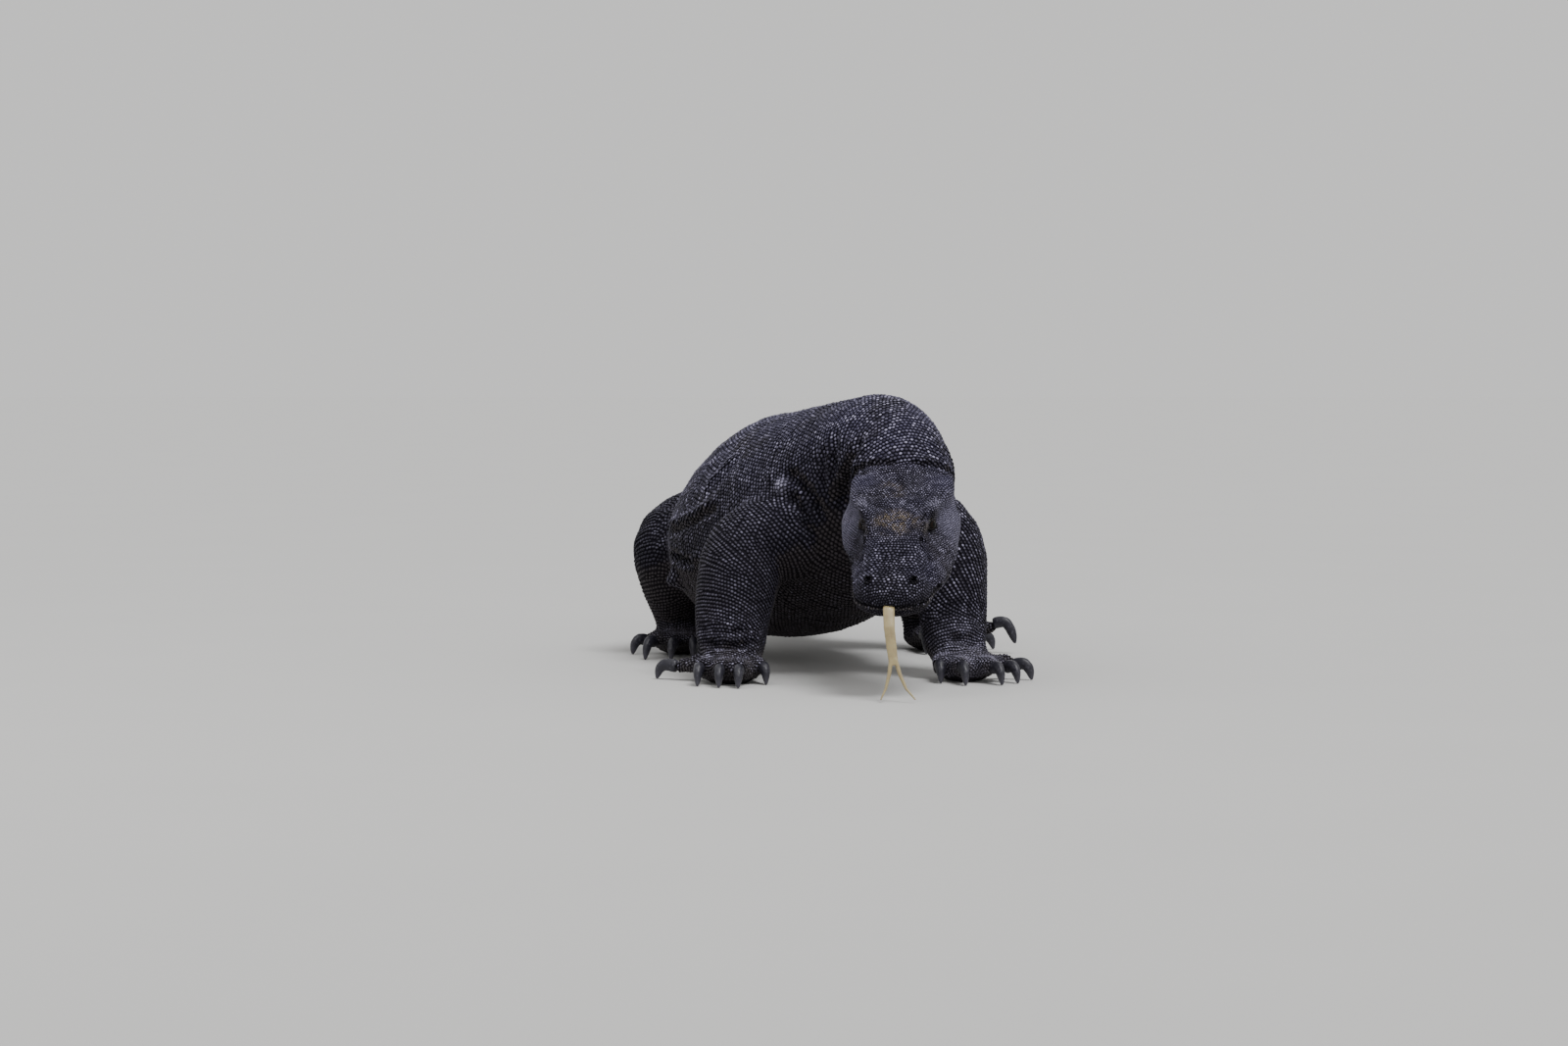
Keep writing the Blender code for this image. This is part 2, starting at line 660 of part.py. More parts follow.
def tongue_blade(name, grow=0.0, material=None):
    """The flat blade of the tongue, or the same shape grown by a clearance as a cutter."""
    path = np.array(TONGUE_PATH)
    path[0] += (path[0] - path[1]) * grow / np.linalg.norm(path[0] - path[1])
    thick = np.full(len(path), TONGUE_THICKNESS + grow)
    widths = np.array(TONGUE_WIDTHS) + grow
    shape = loft(name, path, widths, thick, thick, upright=(0, 1, 0), sides=10)
    return outward(mesh_object(*shape, material))


def carved(source, cuts):
    """A copy of a mesh after Booleans, each with a cutter object or a collection of them."""
    obj = bpy.data.objects.new("carved", source.data.copy())
    bpy.context.scene.collection.objects.link(obj)
    for operation, cutter in cuts:
        cut = obj.modifiers.new("cut", "BOOLEAN")
        cut.operation = operation
        if isinstance(cutter, bpy.types.Collection):
            cut.operand_type, cut.collection = "COLLECTION", cutter
        else:
            cut.object = cutter
    return freeze(obj)


def tidied(piece):
    """Merges the slivers that cutting leaves in one closed body, and leaves plain triangles."""
    bmesh.ops.triangulate(piece, faces=piece.faces)
    for spread in (WELD, WELD, WELD, 0):
        if spread:
            bmesh.ops.remove_doubles(piece, verts=piece.verts, dist=spread)
            bmesh.ops.dissolve_degenerate(piece, edges=piece.edges, dist=spread * 0.2)
            bmesh.ops.dissolve_limit(
                piece,
                angle_limit=FLAT_ANGLE,
                use_dissolve_boundaries=False,
                verts=piece.verts,
                edges=piece.edges,
                delimit=set(),
            )
        bmesh.ops.triangulate(piece, faces=piece.faces)
        by_corners = {}
        for face in piece.faces:
            by_corners.setdefault(frozenset(v.index for v in face.verts), []).append(face)
        doubled = [face for group in by_corners.values() for face in group[: len(group) // 2 * 2]]
        bmesh.ops.delete(piece, geom=doubled, context="FACES")
        fins = [
            face
            for face in piece.faces
            if any(edge.is_boundary for edge in face.edges)
            and any(len(edge.link_faces) > 2 for edge in face.edges)
        ]
        bmesh.ops.delete(piece, geom=fins, context="FACES")
        loose = [vert for vert in piece.verts if not vert.link_faces]
        bmesh.ops.delete(piece, geom=loose, context="VERTS")
    bmesh.ops.holes_fill(piece, edges=[edge for edge in piece.edges if edge.is_boundary])
    bmesh.ops.triangulate(piece, faces=piece.faces)
    bmesh.ops.recalc_face_normals(piece, faces=piece.faces)
    return piece


def islands(obj):
    """The separate closed bodies of a mesh, as (middle, bmesh)."""
    whole = bmesh.new()
    whole.from_mesh(obj.data)
    bmesh.ops.triangulate(whole, faces=whole.faces)
    whole.faces.index_update()
    seen, found = set(), []
    for seed in whole.faces:
        if seed.index in seen:
            continue
        members, queue = set(), [seed]
        seen.add(seed.index)
        while queue:
            face = queue.pop()
            members.add(face.index)
            for edge in face.edges:
                for other in edge.link_faces:
                    if other.index not in seen:
                        seen.add(other.index)
                        queue.append(other)
        piece = whole.copy()
        piece.faces.ensure_lookup_table()
        others = [face for face in piece.faces if face.index not in members]
        bmesh.ops.delete(piece, geom=others, context="FACES")
        if piece.calc_volume() < SMALLEST_PIECE:
            piece.free()
            continue
        tidied(piece)
        middle = sum((v.co for v in piece.verts), Vector()) / len(piece.verts)
        found.append((middle, piece))
    whole.free()
    return found


def trunk_anchors():
    """A point inside each length of the trunk."""
    return {
        "chest": Vector(SPINE[4].at),
        "belly": Vector(SPINE[7].at),
        "hips": Vector(SPINE[9].at).lerp(Vector(SPINE[10].at), 0.5),
    }


def outer_anchors():
    """A point inside each piece of the head, neck, tail and legs."""
    found = {
        "head": head_point((0.095, 0, 0.010)),
        "lower_jaw": head_point((0.140, 0, -0.036)),
        "neck": Vector(SPINE[1].at),
    }
    ends = [index for index, _ in TAIL_CUTS] + [len(SPINE) - 1]
    for number, (first, last) in enumerate(zip([CORE_LAST] + ends, ends)):
        found[f"tail_{number + 1}"] = Vector(SPINE[first].at).lerp(Vector(SPINE[last].at), 0.5)
    for limb in LIMBS:
        side, pair = limb.name.split("_")
        upper, lower, foot = LEG_PARTS[pair]
        found[f"{side}_{upper}"] = Vector(limb.joints[1]).lerp(Vector(limb.joints[2]), 0.5)
        found[f"{side}_{lower}"] = Vector(limb.joints[3])
        found[f"{side}_{foot}"] = Vector(limb.pad)
    return found


def named_pieces(bodies, places, material, collection):
    """Each closed body of flesh as an object, named for the place that is nearest to its middle."""
    if len(bodies) != len(places):
        raise ValueError(f"{len(bodies)} bodies of flesh for {len(places)} places")
    pairs = sorted(
        ((place - middle).length, number, name)
        for number, (middle, _) in enumerate(bodies)
        for name, place in places.items()
    )
    chosen = {}
    for _, number, name in pairs:
        if number not in chosen and name not in chosen.values():
            chosen[number] = name
    for number, (_, piece) in enumerate(bodies):
        name = chosen[number]
        mesh = bpy.data.meshes.new(name)
        piece.to_mesh(mesh)
        piece.free()
        mesh.materials.append(material)
        mesh.shade_smooth()
        collection.objects.link(bpy.data.objects.new(name, mesh))


def finish_material(name, colour, roughness):
    """A plain finish for one kind of surface."""
    material = bpy.data.materials.new(name)
    material.use_nodes = True
    shader = material.node_tree.nodes["Principled BSDF"]
    shader.inputs["Base Color"].default_value = (*colour, 1)
    shader.inputs["Roughness"].default_value = roughness
    return material


def settle(collection):
    """Moves the whole animal so that the origin is the middle of its footprint, on the ground."""
    corners = np.array([v.co for obj in collection.objects for v in obj.data.vertices])
    low, high = corners.min(axis=0), corners.max(axis=0)
    shift = Matrix.Translation((-(low[0] + high[0]) / 2, -(low[1] + high[1]) / 2, 0))
    for obj in collection.objects:
        obj.data.transform(shift)


def new_collection(name, parent):
    """An empty collection inside another."""
    made = bpy.data.collections.new(name)
    parent.children.link(made)
    return made


def main():
    """Builds every piece of the animal."""
    for obj in list(bpy.data.objects):
        bpy.data.objects.remove(obj)
    skin = finish_material("skin", SKIN_COLOUR, 0.75)
    horn = finish_material("claw", CLAW_COLOUR, 0.35)
    eye = finish_material("eye", EYE_COLOUR, 0.10)
    wet = finish_material("tongue", TONGUE_COLOUR, 0.40)
    animal = new_collection("komodo_dragon", bpy.context.scene.collection)
    cutters = new_collection("cutters", bpy.context.scene.collection)
    trunk_cutters = new_collection("trunk_cutters", cutters)
    outer_cutters = new_collection("outer_cutters", cutters)
    flesh = flesh_object()
    add_trunk_cutters(trunk_cutters)
    add_outer_cutters(outer_cutters)
    core = hide_as_cutter(trunk_core("core", 0), cutters)
    inner = hide_as_cutter(trunk_core("inner_core", ROOT_GAP), cutters)
    trunk = carved(flesh, (("INTERSECT", inner), ("DIFFERENCE", trunk_cutters)))
    outer = carved(flesh, (("DIFFERENCE", core), ("DIFFERENCE", outer_cutters)))
    named_pieces(islands(trunk), trunk_anchors(), skin, animal)
    named_pieces(islands(outer), outer_anchors(), skin, animal)
    for obj in (flesh, trunk, outer):
        bpy.data.objects.remove(obj)
    for limb in LIMBS:
        for number, digit in enumerate(limb.digits):
            claw_object(f"{limb.name}_claw_{number + 1}", digit, horn, collection=animal)
    for side, name in ((1, "left"), (-1, "right")):
        ball(f"{name}_eye", head_point(EYE_AT, side), (EYE_RADIUS,) * 3).data.materials.append(eye)
        keep_in(animal, bpy.data.objects[f"{name}_eye"])
    keep_in(animal, tongue_object("tongue", wet))
    settle(animal)


main()
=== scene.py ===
"""The finished look of a life-size Komodo dragon that stands with its head low and its tongue out.

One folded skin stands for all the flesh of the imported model, and lies inside it by the depth of
the scales. The scales are small closed beads that follow the rows of the real hide. Eyes, claws
and tongue are pieces of their own. Lengths are metres, +Z is up and the animal faces -Y.
"""

import heapq
import logging
import math
from collections import defaultdict
from dataclasses import dataclass, field
from enum import Enum

import bmesh
import bpy
import numpy as np
from mathutils import Matrix, Vector
from mathutils.bvhtree import BVHTree
from mathutils.kdtree import KDTree


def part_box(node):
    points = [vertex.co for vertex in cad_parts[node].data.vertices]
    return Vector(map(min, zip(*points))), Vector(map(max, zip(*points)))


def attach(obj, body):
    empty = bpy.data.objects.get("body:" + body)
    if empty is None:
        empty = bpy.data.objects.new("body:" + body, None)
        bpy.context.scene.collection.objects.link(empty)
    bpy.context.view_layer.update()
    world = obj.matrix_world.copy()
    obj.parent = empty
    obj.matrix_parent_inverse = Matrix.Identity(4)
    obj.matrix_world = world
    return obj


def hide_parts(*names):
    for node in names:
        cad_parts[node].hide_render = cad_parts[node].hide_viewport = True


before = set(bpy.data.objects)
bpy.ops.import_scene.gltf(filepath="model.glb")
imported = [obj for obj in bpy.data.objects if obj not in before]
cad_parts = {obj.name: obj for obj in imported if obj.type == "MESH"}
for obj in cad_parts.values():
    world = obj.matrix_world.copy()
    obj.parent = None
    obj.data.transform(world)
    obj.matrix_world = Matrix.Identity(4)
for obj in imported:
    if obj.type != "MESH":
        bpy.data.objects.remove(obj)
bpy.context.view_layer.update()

WELD = 1e-5  # points closer than this are one
LOG = logging.getLogger("komodo_dragon")

HEAD_PITCH = math.radians(33.0)
EYES_IN_HEAD = (0.092, 0.0300)  # ahead of the back of the skull, and above its middle
EYE_LOOKS = {1: (0.35, 0.87, 0.33), -1: (0.24, 0.95, 0.14)}  # where the left and right eyes look
SKULL_IN_PLAN = Vector((0.0595, -0.065, 0.247))  # the plan has y = 0 on the line of the fore feet
MOUTH_CORNER = (0.070, -0.025)  # ahead, above
MOUTH_RISE = math.radians(7.8)
MOUTH_RUN_ON = 0.004  # how far behind its corner the line of the mouth is drawn
SIDES = (1, -1)  # left and right
EYES = {"left_eye": 1, "right_eye": -1}  # and the side that each is on

TRUNK_NODES = ("neck", "chest", "belly", "hips")
LEG_PARTS = {"fore": ("upper_arm", "forearm", "hand"), "hind": ("thigh", "shank", "foot")}


class Leg(Enum):
    """The four legs, each with its side and its pair."""

    LEFT_FORE = ("left", "fore")
    RIGHT_FORE = ("right", "fore")
    LEFT_HIND = ("left", "hind")
    RIGHT_HIND = ("right", "hind")

    @property
    def nodes(self) -> list[str]:
        """The names of the leg's three flesh nodes, from the body down."""
        side, pair = self.value
        return [f"{side}_{part}" for part in LEG_PARTS[pair]]

    @property
    def claws(self) -> list[str]:
        """The names of the leg's five claw nodes."""
        side, pair = self.value
        return [f"{side}_{pair}_claw_{number}" for number in range(1, 6)]


def tail_nodes() -> list[str]:
    """The names of the lengths of tail, from the body out."""
    return sorted(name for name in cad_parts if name.startswith("tail_"))


def flesh_nodes() -> list[str]:
    """The names of every node that the skin stands for."""
    legs = [name for leg in Leg for name in leg.nodes]
    return ["head", "lower_jaw", *TRUNK_NODES, *tail_nodes(), *legs]


def kind_of(name: str) -> str:
    """A node's kind: its name without its side or number.

    Args:
        name: The node's name.

    Returns:
        The kind, such as "hand" or "tail".
    """
    if name.startswith("tail_"):
        return "tail"
    return name.removeprefix("left_").removeprefix("right_")


def box_middle(name: str) -> Vector:
    """The middle of a node's box."""
    low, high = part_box(name)
    return (Vector(low) + Vector(high)) / 2


class Places:
    """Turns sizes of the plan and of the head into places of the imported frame."""

    def __init__(self) -> None:
        """Finds the head's axes from the two eyes and its known pitch."""
        left, right = box_middle("left_eye"), box_middle("right_eye")
        middle = (left + right) / 2
        self.leftward = (left - right).normalized()
        level = Vector((0, 0, 1)).cross(self.leftward).normalized() * -1
        self.forward = level * math.cos(HEAD_PITCH) - Vector((0, 0, math.sin(HEAD_PITCH)))
        self.above = self.forward.cross(self.leftward)
        self.skull = middle - self.forward * EYES_IN_HEAD[0] - self.above * EYES_IN_HEAD[1]
        self.shift = self.skull - SKULL_IN_PLAN

    def plan(self, at: tuple) -> Vector:
        """The place of a point of the plan."""
        return Vector(at) + self.shift

    def head(self, at: tuple, side: int = 1) -> Vector:
        """The place of a point of the head: ahead, to the left (side 1) or right (-1), above."""
        return self.skull + self.forward * at[0] + self.leftward * (at[1] * side) + self.above * at[2]

    def in_head(self, points: np.ndarray) -> np.ndarray:
        """Places as lengths ahead, to the left and above in the head."""
        axes = np.array([self.forward, self.leftward, self.above])
        return (points - np.array(self.skull)) @ axes.T

    def above_mouth(self, points: np.ndarray) -> np.ndarray:
        """How far places lie above the line of the mouth; endless where there is no mouth.

        Args:
            points: The places, N x 3.

        Returns:
            The heights.
        """
        ahead, _, above = self.in_head(points).T
        line = MOUTH_CORNER[1] + (ahead - MOUTH_CORNER[0]) * math.tan(MOUTH_RISE)
        return np.where(ahead > MOUTH_CORNER[0] - MOUTH_RUN_ON, (above - line) * math.cos(MOUTH_RISE), np.inf)


PLACES = Places()


def smooth_path(points: list, step: float) -> np.ndarray:
    """Rounds a line through a few points.

    Args:
        points: The points, as vectors.
        step: The greatest distance between two points of the result.

    Returns:
        Points along a Catmull-Rom curve through the given ones.
    """
    rows = np.array([tuple(point) for point in points], float)
    ends = np.vstack([2 * rows[0] - rows[1], rows, 2 * rows[-1] - rows[-2]])
    made = []
    for before, start, stop, after in zip(ends, ends[1:], ends[2:], ends[3:]):
        count = max(1, math.ceil(float(np.linalg.norm((stop - start)[:3])) / step))
        for t in np.arange(count)[:, None] / count:
            made.append(
                0.5 * (2 * start + (stop - before) * t
                       + (2 * before - 5 * start + 4 * stop - after) * t**2
                       + (3 * start - before - 3 * stop + after) * t**3)
            )
    return np.vstack([*made, rows[-1]])


def nearest_on_path(points: np.ndarray, path: np.ndarray) -> tuple[np.ndarray, np.ndarray, np.ndarray]:
    """Finds how far points lie from a line.

    Args:
        points: The points, N x 3.
        path: The line's points, M x 3.

    Returns:
        The distances, the lengths run along the line, and the nearest points on it.
    """
    best = np.full(len(points), np.inf)
    run = np.zeros(len(points))
    near = np.zeros_like(points)
    travelled = 0.0
    for start, stop in zip(path, path[1:]):
        edge = stop - start
        length = float(np.linalg.norm(edge))
        part = np.clip((points - start) @ edge / max(length * length, 1e-12), 0, 1)
        on_edge = start + part[:, None] * edge
        far = np.linalg.norm(points - on_edge, axis=1)
        closer = far < best
        best = np.where(closer, far, best)
        run = np.where(closer, travelled + part * length, run)
        near[closer] = on_edge[closer]
        travelled += length
    return best, run, near


def tangents(path: np.ndarray) -> np.ndarray:
    """The unit directions along a line at its points."""
    runs = np.gradient(path, axis=0)
    return runs / np.linalg.norm(runs, axis=1)[:, None]


def unit(rows: np.ndarray) -> np.ndarray:
    """Rows scaled to length 1."""
    return rows / np.maximum(np.linalg.norm(rows, axis=-1, keepdims=True), 1e-9)


def step_between(values: np.ndarray, low: float, high: float) -> np.ndarray:
    """A smooth rise from 0 at low to 1 at high."""
    t = np.clip((values - low) / (high - low), 0, 1)
    return t * t * (3 - 2 * t)


def bell(values: np.ndarray, width: float) -> np.ndarray:
    """A hump that is 1 at 0 and falls away over a width."""
    return np.exp(-((values / width) ** 2))


def distances(points: np.ndarray, at: Vector | np.ndarray) -> np.ndarray:
    """How far points lie from a place."""
    return np.linalg.norm(points - np.array(at), axis=1)


def flattened(rows: np.ndarray, normals: np.ndarray) -> np.ndarray:
    """Rows without what runs along the normals."""
    return rows - normals * (rows * normals).sum(1)[:, None]


def corners_of(mesh: bpy.types.Mesh) -> np.ndarray:
    """The places of a mesh's points."""
    return np.array([tuple(vert.co) for vert in mesh.vertices])


def mesh_from(made: bmesh.types.BMesh, name: str) -> bpy.types.Mesh:
    """Turns a bmesh into a new mesh and frees it.

    Args:
        made: The bmesh.
        name: The mesh's name.

    Returns:
        The mesh.
    """
    mesh = bpy.data.meshes.new(name)
    made.to_mesh(mesh)
    made.free()
    return mesh


def add_object(name: str, data: bpy.types.ID) -> bpy.types.Object:
    """Puts a mesh, a light or a camera in the scene as a named object.

    Args:
        name: The object's name.
        data: What it shows.

    Returns:
        The object.
    """
    obj = bpy.data.objects.new(name, data)
    bpy.context.scene.collection.objects.link(obj)
    return obj


def apply_modifiers(obj: bpy.types.Object) -> None:
    """Replaces an object's mesh by what its modifiers make of it.

    Args:
        obj: The object.
    """
    graph = bpy.context.evaluated_depsgraph_get()
    graph.update()
    mesh = bpy.data.meshes.new_from_object(obj.evaluated_get(graph))
    obj.modifiers.clear()
    old = obj.data
    obj.data = mesh
    bpy.data.meshes.remove(old)


def fuse(obj: bpy.types.Object, voxel: float) -> None:
    """Rebuilds an object's mesh as closed surfaces of even faces.

    Args:
        obj: The object.
        voxel: The size of the faces.
    """
    remesh = obj.modifiers.new("fuse", "REMESH")
    remesh.mode, remesh.voxel_size = "VOXEL", voxel
    apply_modifiers(obj)


def merged_copy(made: bmesh.types.BMesh, node: str) -> None:
    """Adds a copy of a CAD node's mesh to a bmesh, its loose triangles joined.

    Args:
        made: The bmesh that grows.
        node: The node's name.
    """
    part = bmesh.new()
    part.from_mesh(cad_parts[node].data)
    bmesh.ops.remove_doubles(part, verts=part.verts, dist=WELD)
    mesh = mesh_from(part, node + "_copy")
    made.from_mesh(mesh)
    bpy.data.meshes.remove(mesh)


# ---------------------------------------------------------------- finishes


class Value:
    """A socket of a material's nodes that can be used in sums."""

    def __init__(self, graph: "Graph", socket: bpy.types.NodeSocket) -> None:
        """Wraps one output socket of a graph."""
        self.graph = graph
        self.socket = socket

    def _sum(self, operation: str, *terms: "Value | float") -> "Value":
        """One Math node on these terms."""
        return self.graph.node("ShaderNodeMath", {"operation": operation}, dict(enumerate(terms)))

    def __add__(self, other: "Value | float") -> "Value":
        """This plus another."""
        return self._sum("ADD", self, other)

    __radd__ = __add__

    def __sub__(self, other: "Value | float") -> "Value":
        """This less another."""
        return self._sum("SUBTRACT", self, other)

    def __rsub__(self, other: "Value | float") -> "Value":
        """Another less this."""
        return self._sum("SUBTRACT", other, self)

    def __mul__(self, other: "Value | float") -> "Value":
        """This times another."""
        return self._sum("MULTIPLY", self, other)

    __rmul__ = __mul__

    def __pow__(self, power: float) -> "Value":
        """This to a power."""
        return self._sum("POWER", self, power)

    def between(self, low: float, high: float) -> "Value":
        """A smooth mask: 0 below low and 1 above high."""
        sockets = {"Value": self, "From Min": low, "From Max": high}
        return self.graph.node("ShaderNodeMapRange", {"interpolation_type": "SMOOTHSTEP"}, sockets)

    def most(self, other: "Value | float") -> "Value":
        """The greater of this and another."""
        return self._sum("MAXIMUM", self, other)


class Graph:
    """A material and the nodes that make it."""

    def __init__(self, name: str, roughness: float = 0.5, coat: float = 0.0, specular: float = 0.5) -> None:
        """Starts a material with one Principled shader and its constant settings.

        Args:
            name: The material's name.
            roughness: Its roughness.
            coat: The weight of its clear coat.
            specular: How strongly it mirrors.
        """
        self.material = bpy.data.materials.new(name)
        self.material.use_nodes = True
        self.nodes = self.material.node_tree.nodes
        self.links = self.material.node_tree.links
        self.shader = self.nodes["Principled BSDF"]
        self.shader.inputs["Roughness"].default_value = roughness
        self.shader.inputs["Coat Weight"].default_value = coat
        self.shader.inputs["Specular IOR Level"].default_value = specular

    def node(self, kind: str, settings: dict, sockets: dict, output: int | str = 0) -> Value:
        """Adds a node.

        Args:
            kind: The node's type.
            settings: Its properties, set first.
            sockets: Values or links, by the name or number of the input.
            output: The name or number of the output to hand back.

        Returns:
            The node's output.
        """
        node = self.nodes.new(kind)
        for name, setting in settings.items():
            setattr(node, name, setting)
        for name, given in sockets.items():
            self.feed(node.inputs[name], given)
        return Value(self, node.outputs[output])

    def feed(self, socket: bpy.types.NodeSocket, given: object) -> None:
        """Links a value to a socket, or sets it.

        Args:
            socket: The input socket.
            given: A value of the graph, or a number, colour or place.
        """
        if isinstance(given, Value):
            self.links.new(given.socket, socket)
        else:
            socket.default_value = given

    def place(self) -> Value:
        """Object coordinates."""
        return self.node("ShaderNodeTexCoord", {}, {}, "Object")

    def attribute(self, name: str) -> Value:
        """A number that the mesh holds at each point."""
        return self.node("ShaderNodeAttribute", {"attribute_name": name}, {}, "Fac")

    def noise(self, scale: float, detail: float = 2.0, rough: float = 0.5) -> Value:
        """Noise from 0 to 1, of so many waves to the metre."""
        sockets = {"Vector": self.place(), "Scale": scale, "Detail": detail, "Roughness": rough}
        return self.node("ShaderNodeTexNoise", {}, sockets, 0)

    def height(self) -> Value:
        """The height above the floor."""
        return self.node("ShaderNodeSeparateXYZ", {}, {0: self.place()}, 2)

    def distance(self, at: Vector) -> Value:
        """The distance from a place."""
        sockets = {0: self.place(), 1: tuple(at)}
        return self.node("ShaderNodeVectorMath", {"operation": "DISTANCE"}, sockets, "Value")

    def ball(self, at: Vector, radius: float, edge: float = 0.6) -> Value:
        """A soft mask that is 1 near a place and 0 beyond a radius."""
        return 1 - self.distance(at).between(radius * (1 - edge), radius)

    def mix(self, first: "Value | tuple", second: "Value | tuple", share: "Value | float") -> Value:
        """The first colour turned into the second by a share."""
        colours = [c if isinstance(c, Value) else (*c, 1.0) for c in (first, second)]
        return self.node("ShaderNodeMix", {"data_type": "RGBA"}, {0: share, 6: colours[0], 7: colours[1]}, 2)

    def finish(self, colour: Value, rough: Value | None = None, bump: Value | None = None,
               depth: float = 0.001) -> bpy.types.Material:
        """Feeds the shader.

        Args:
            colour: The base colour.
            rough: The roughness, if it varies.
            bump: A height from 0 to 1, if there is relief too fine for the mesh.
            depth: What a height of 1 stands for, in metres.

        Returns:
            The material.
        """
        self.feed(self.shader.inputs["Base Color"], colour)
        if rough is not None:
            self.feed(self.shader.inputs["Roughness"], rough)
        if bump is not None:
            relief = self.node("ShaderNodeBump", {}, {"Height": bump, "Distance": depth}, "Normal")
            self.feed(self.shader.inputs["Normal"], relief)
        return self.material


@dataclass(frozen=True)
class HideFinish:
    """The colours of the hide, which skin and scales share, painted shade and painted light among them."""

    # groove: near-black, painted shade in the gaps between the scales, at their feet and in the creases; it
    # also darkens some beads at random
    groove: tuple = (0.0040, 0.0034, 0.0056)
    slate: tuple = (0.022, 0.0192, 0.0310)
    # violet: the hide's blue-violet, also used as painted sky reflection on the upper sides and the head
    violet: tuple = (0.036, 0.0325, 0.0780)
    earth: tuple = (0.032, 0.0250, 0.0250)
    # deep: the dark of painted shade, for the nodes that lie in shade, the dark pockets and the dark patches
    # of the head
    deep: tuple = (0.0120, 0.0106, 0.0190)
    # belly: a lighter brown for all downward-facing skin, partly the belly's own brown, partly painted fill
    # light from below
    belly: tuple = (0.0440, 0.0370, 0.0400)
    ochre: tuple = (0.205, 0.158, 0.096)
    # pale: bluish white, for dust and painted highlights on the crests, and for the pale and lit patches
    pale: tuple = (0.345, 0.328, 0.455)
    lip: tuple = (0.230, 0.205, 0.190)
    soil: tuple = (0.105, 0.095, 0.098)
    # the painted sky reflection on upward-facing sides grows between these heights
    violet_heights: tuple = (0.12, 0.40)  # where the violet of the upper sides begins, and is full
    soil_heights: tuple = (0.018, 0.062)  # where the soil of the feet begins to fade, and ends
    # muzzle: a ball that keeps the painted underside colour off the head
    muzzle: tuple = (0.09, 0, 0.02)  # the middle of the ball that keeps the belly's colour off the head
    muzzle_radius: float = 0.17

    def markings(self, graph: Graph) -> Value:
        """The colour of the hide at each place, apart from its grooves, with painted shade and painted light
        laid in.

        Args:
            graph: The graph of the material.

        Returns:
            The colour.
        """
        # dust: upward-facing skin, for dust and for the painted skylight on the tops
        dust, height = graph.attribute("dust"), graph.height()
        broad = graph.noise(5.0, 3.0, 0.6).between(0.45, 0.70)
        colour = graph.mix(self.slate, self.earth, broad * 0.5)
        # upper, upward-facing sides turn violet: partly the hide's tint, partly painted sky reflection
        top = dust * height.between(*self.violet_heights) * graph.noise(14.0, 2.0).between(0.25, 0.60)
        colour = graph.mix(colour, self.violet, top * 0.85)
        # painted shade: nodes that lie in shade, and the dark pockets of the body
        colour = graph.mix(colour, self.deep, graph.attribute("shade"))
        off_head = 1 - graph.ball(PLACES.head(self.muzzle), self.muzzle_radius, 0.3)
        # downward-facing skin off the head: belly brown and painted fill light from below
        colour = graph.mix(colour, self.belly, (1 - dust.between(0.0, 0.10)) * off_head)
        flecks = graph.noise(60.0, 2.0).between(0.35, 0.60) * graph.noise(330.0, 2.0).between(0.40, 0.56)
        for at, radius, share in FACE_DUST:
            colour = graph.mix(colour, self.ochre, graph.ball(PLACES.head(at), radius) * flecks * share)
        # patches of the head: violet is partly painted sky reflection, pale partly painted highlights, dark
        # mostly painted shade
        for tint, patches in ((self.violet, FACE_VIOLET), (self.pale, FACE_PALE_AND_LIT), (self.deep, FACE_DARK_AND_SHADE)):
            for side in SIDES:
                for at, radius, share in patches:
                    colour = graph.mix(colour, tint, graph.ball(PLACES.head(at, side), radius, 0.8) * share)
        # painted light on the body's lit knobs, ridges, neck top and left hand
        for at, radius, share in BODY_PAINTED_LIGHT:
            colour = graph.mix(colour, self.pale, graph.ball(PLACES.plan(at), radius, 0.7) * share)
        clods = 0.35 + graph.noise(40.0, 3.0).between(0.40, 0.65) * 0.65
        colour = graph.mix(colour, self.soil, (1 - height.between(*self.soil_heights)) * clods * 0.75)
        colour = graph.mix(colour, self.lip, graph.attribute("lip"))
        # painted shade in hollows, in the slit of the mouth and in the eye openings, by the crease mark
        return graph.mix(colour, self.groove, graph.attribute("crease"))

    def skin(self) -> bpy.types.Material:
        """The skin between and under the scales, painted near-black as the shade in the gaps between them.

        Returns:
            The material.
        """
        graph = Graph("hide_skin", roughness=0.80, specular=0.06)
        fine = graph.noise(420.0, 2.0)
        # mostly the groove colour: painted shade between the scales
        colour = graph.mix(self.markings(graph), self.groove, 0.84 - fine.between(0.45, 0.7) * 0.15)
        return graph.finish(colour, bump=fine, depth=0.0006)

    def scales(self) -> bpy.types.Material:
        """The beads, painted dark at the foot as shade where they meet the skin, and pale at the crest,
        partly as dust and partly as a painted highlight.

        Returns:
            The material.
        """
        graph = Graph("hide_scales", roughness=0.5, specular=0.14)
        crest, tone = graph.attribute("crest"), graph.attribute("tone")
        # no pale crest where the crease or the nodes' painted shade darkens the hide
        unshaded = 1 - graph.attribute("crease").most(graph.attribute("shade") * 0.6)
        patches = 0.35 + graph.noise(70.0, 3.0).between(0.34, 0.66)
        clumps = graph.noise(150.0, 2.0).between(0.38, 0.62)
        # pale crests: dust, and a painted highlight of the sky on each bead's top, strongest on upward-facing
        # skin
        dust_and_glint = crest.between(0.45, 1.0) * (tone ** 1.6) * (0.16 + graph.attribute("dust") * 0.89)
        colour = graph.mix(self.markings(graph), self.pale, dust_and_glint * patches * (0.50 + clumps) * unshaded)
        colour = graph.mix(colour, self.groove, (1 - tone) * (0.54 - clumps * 0.38))
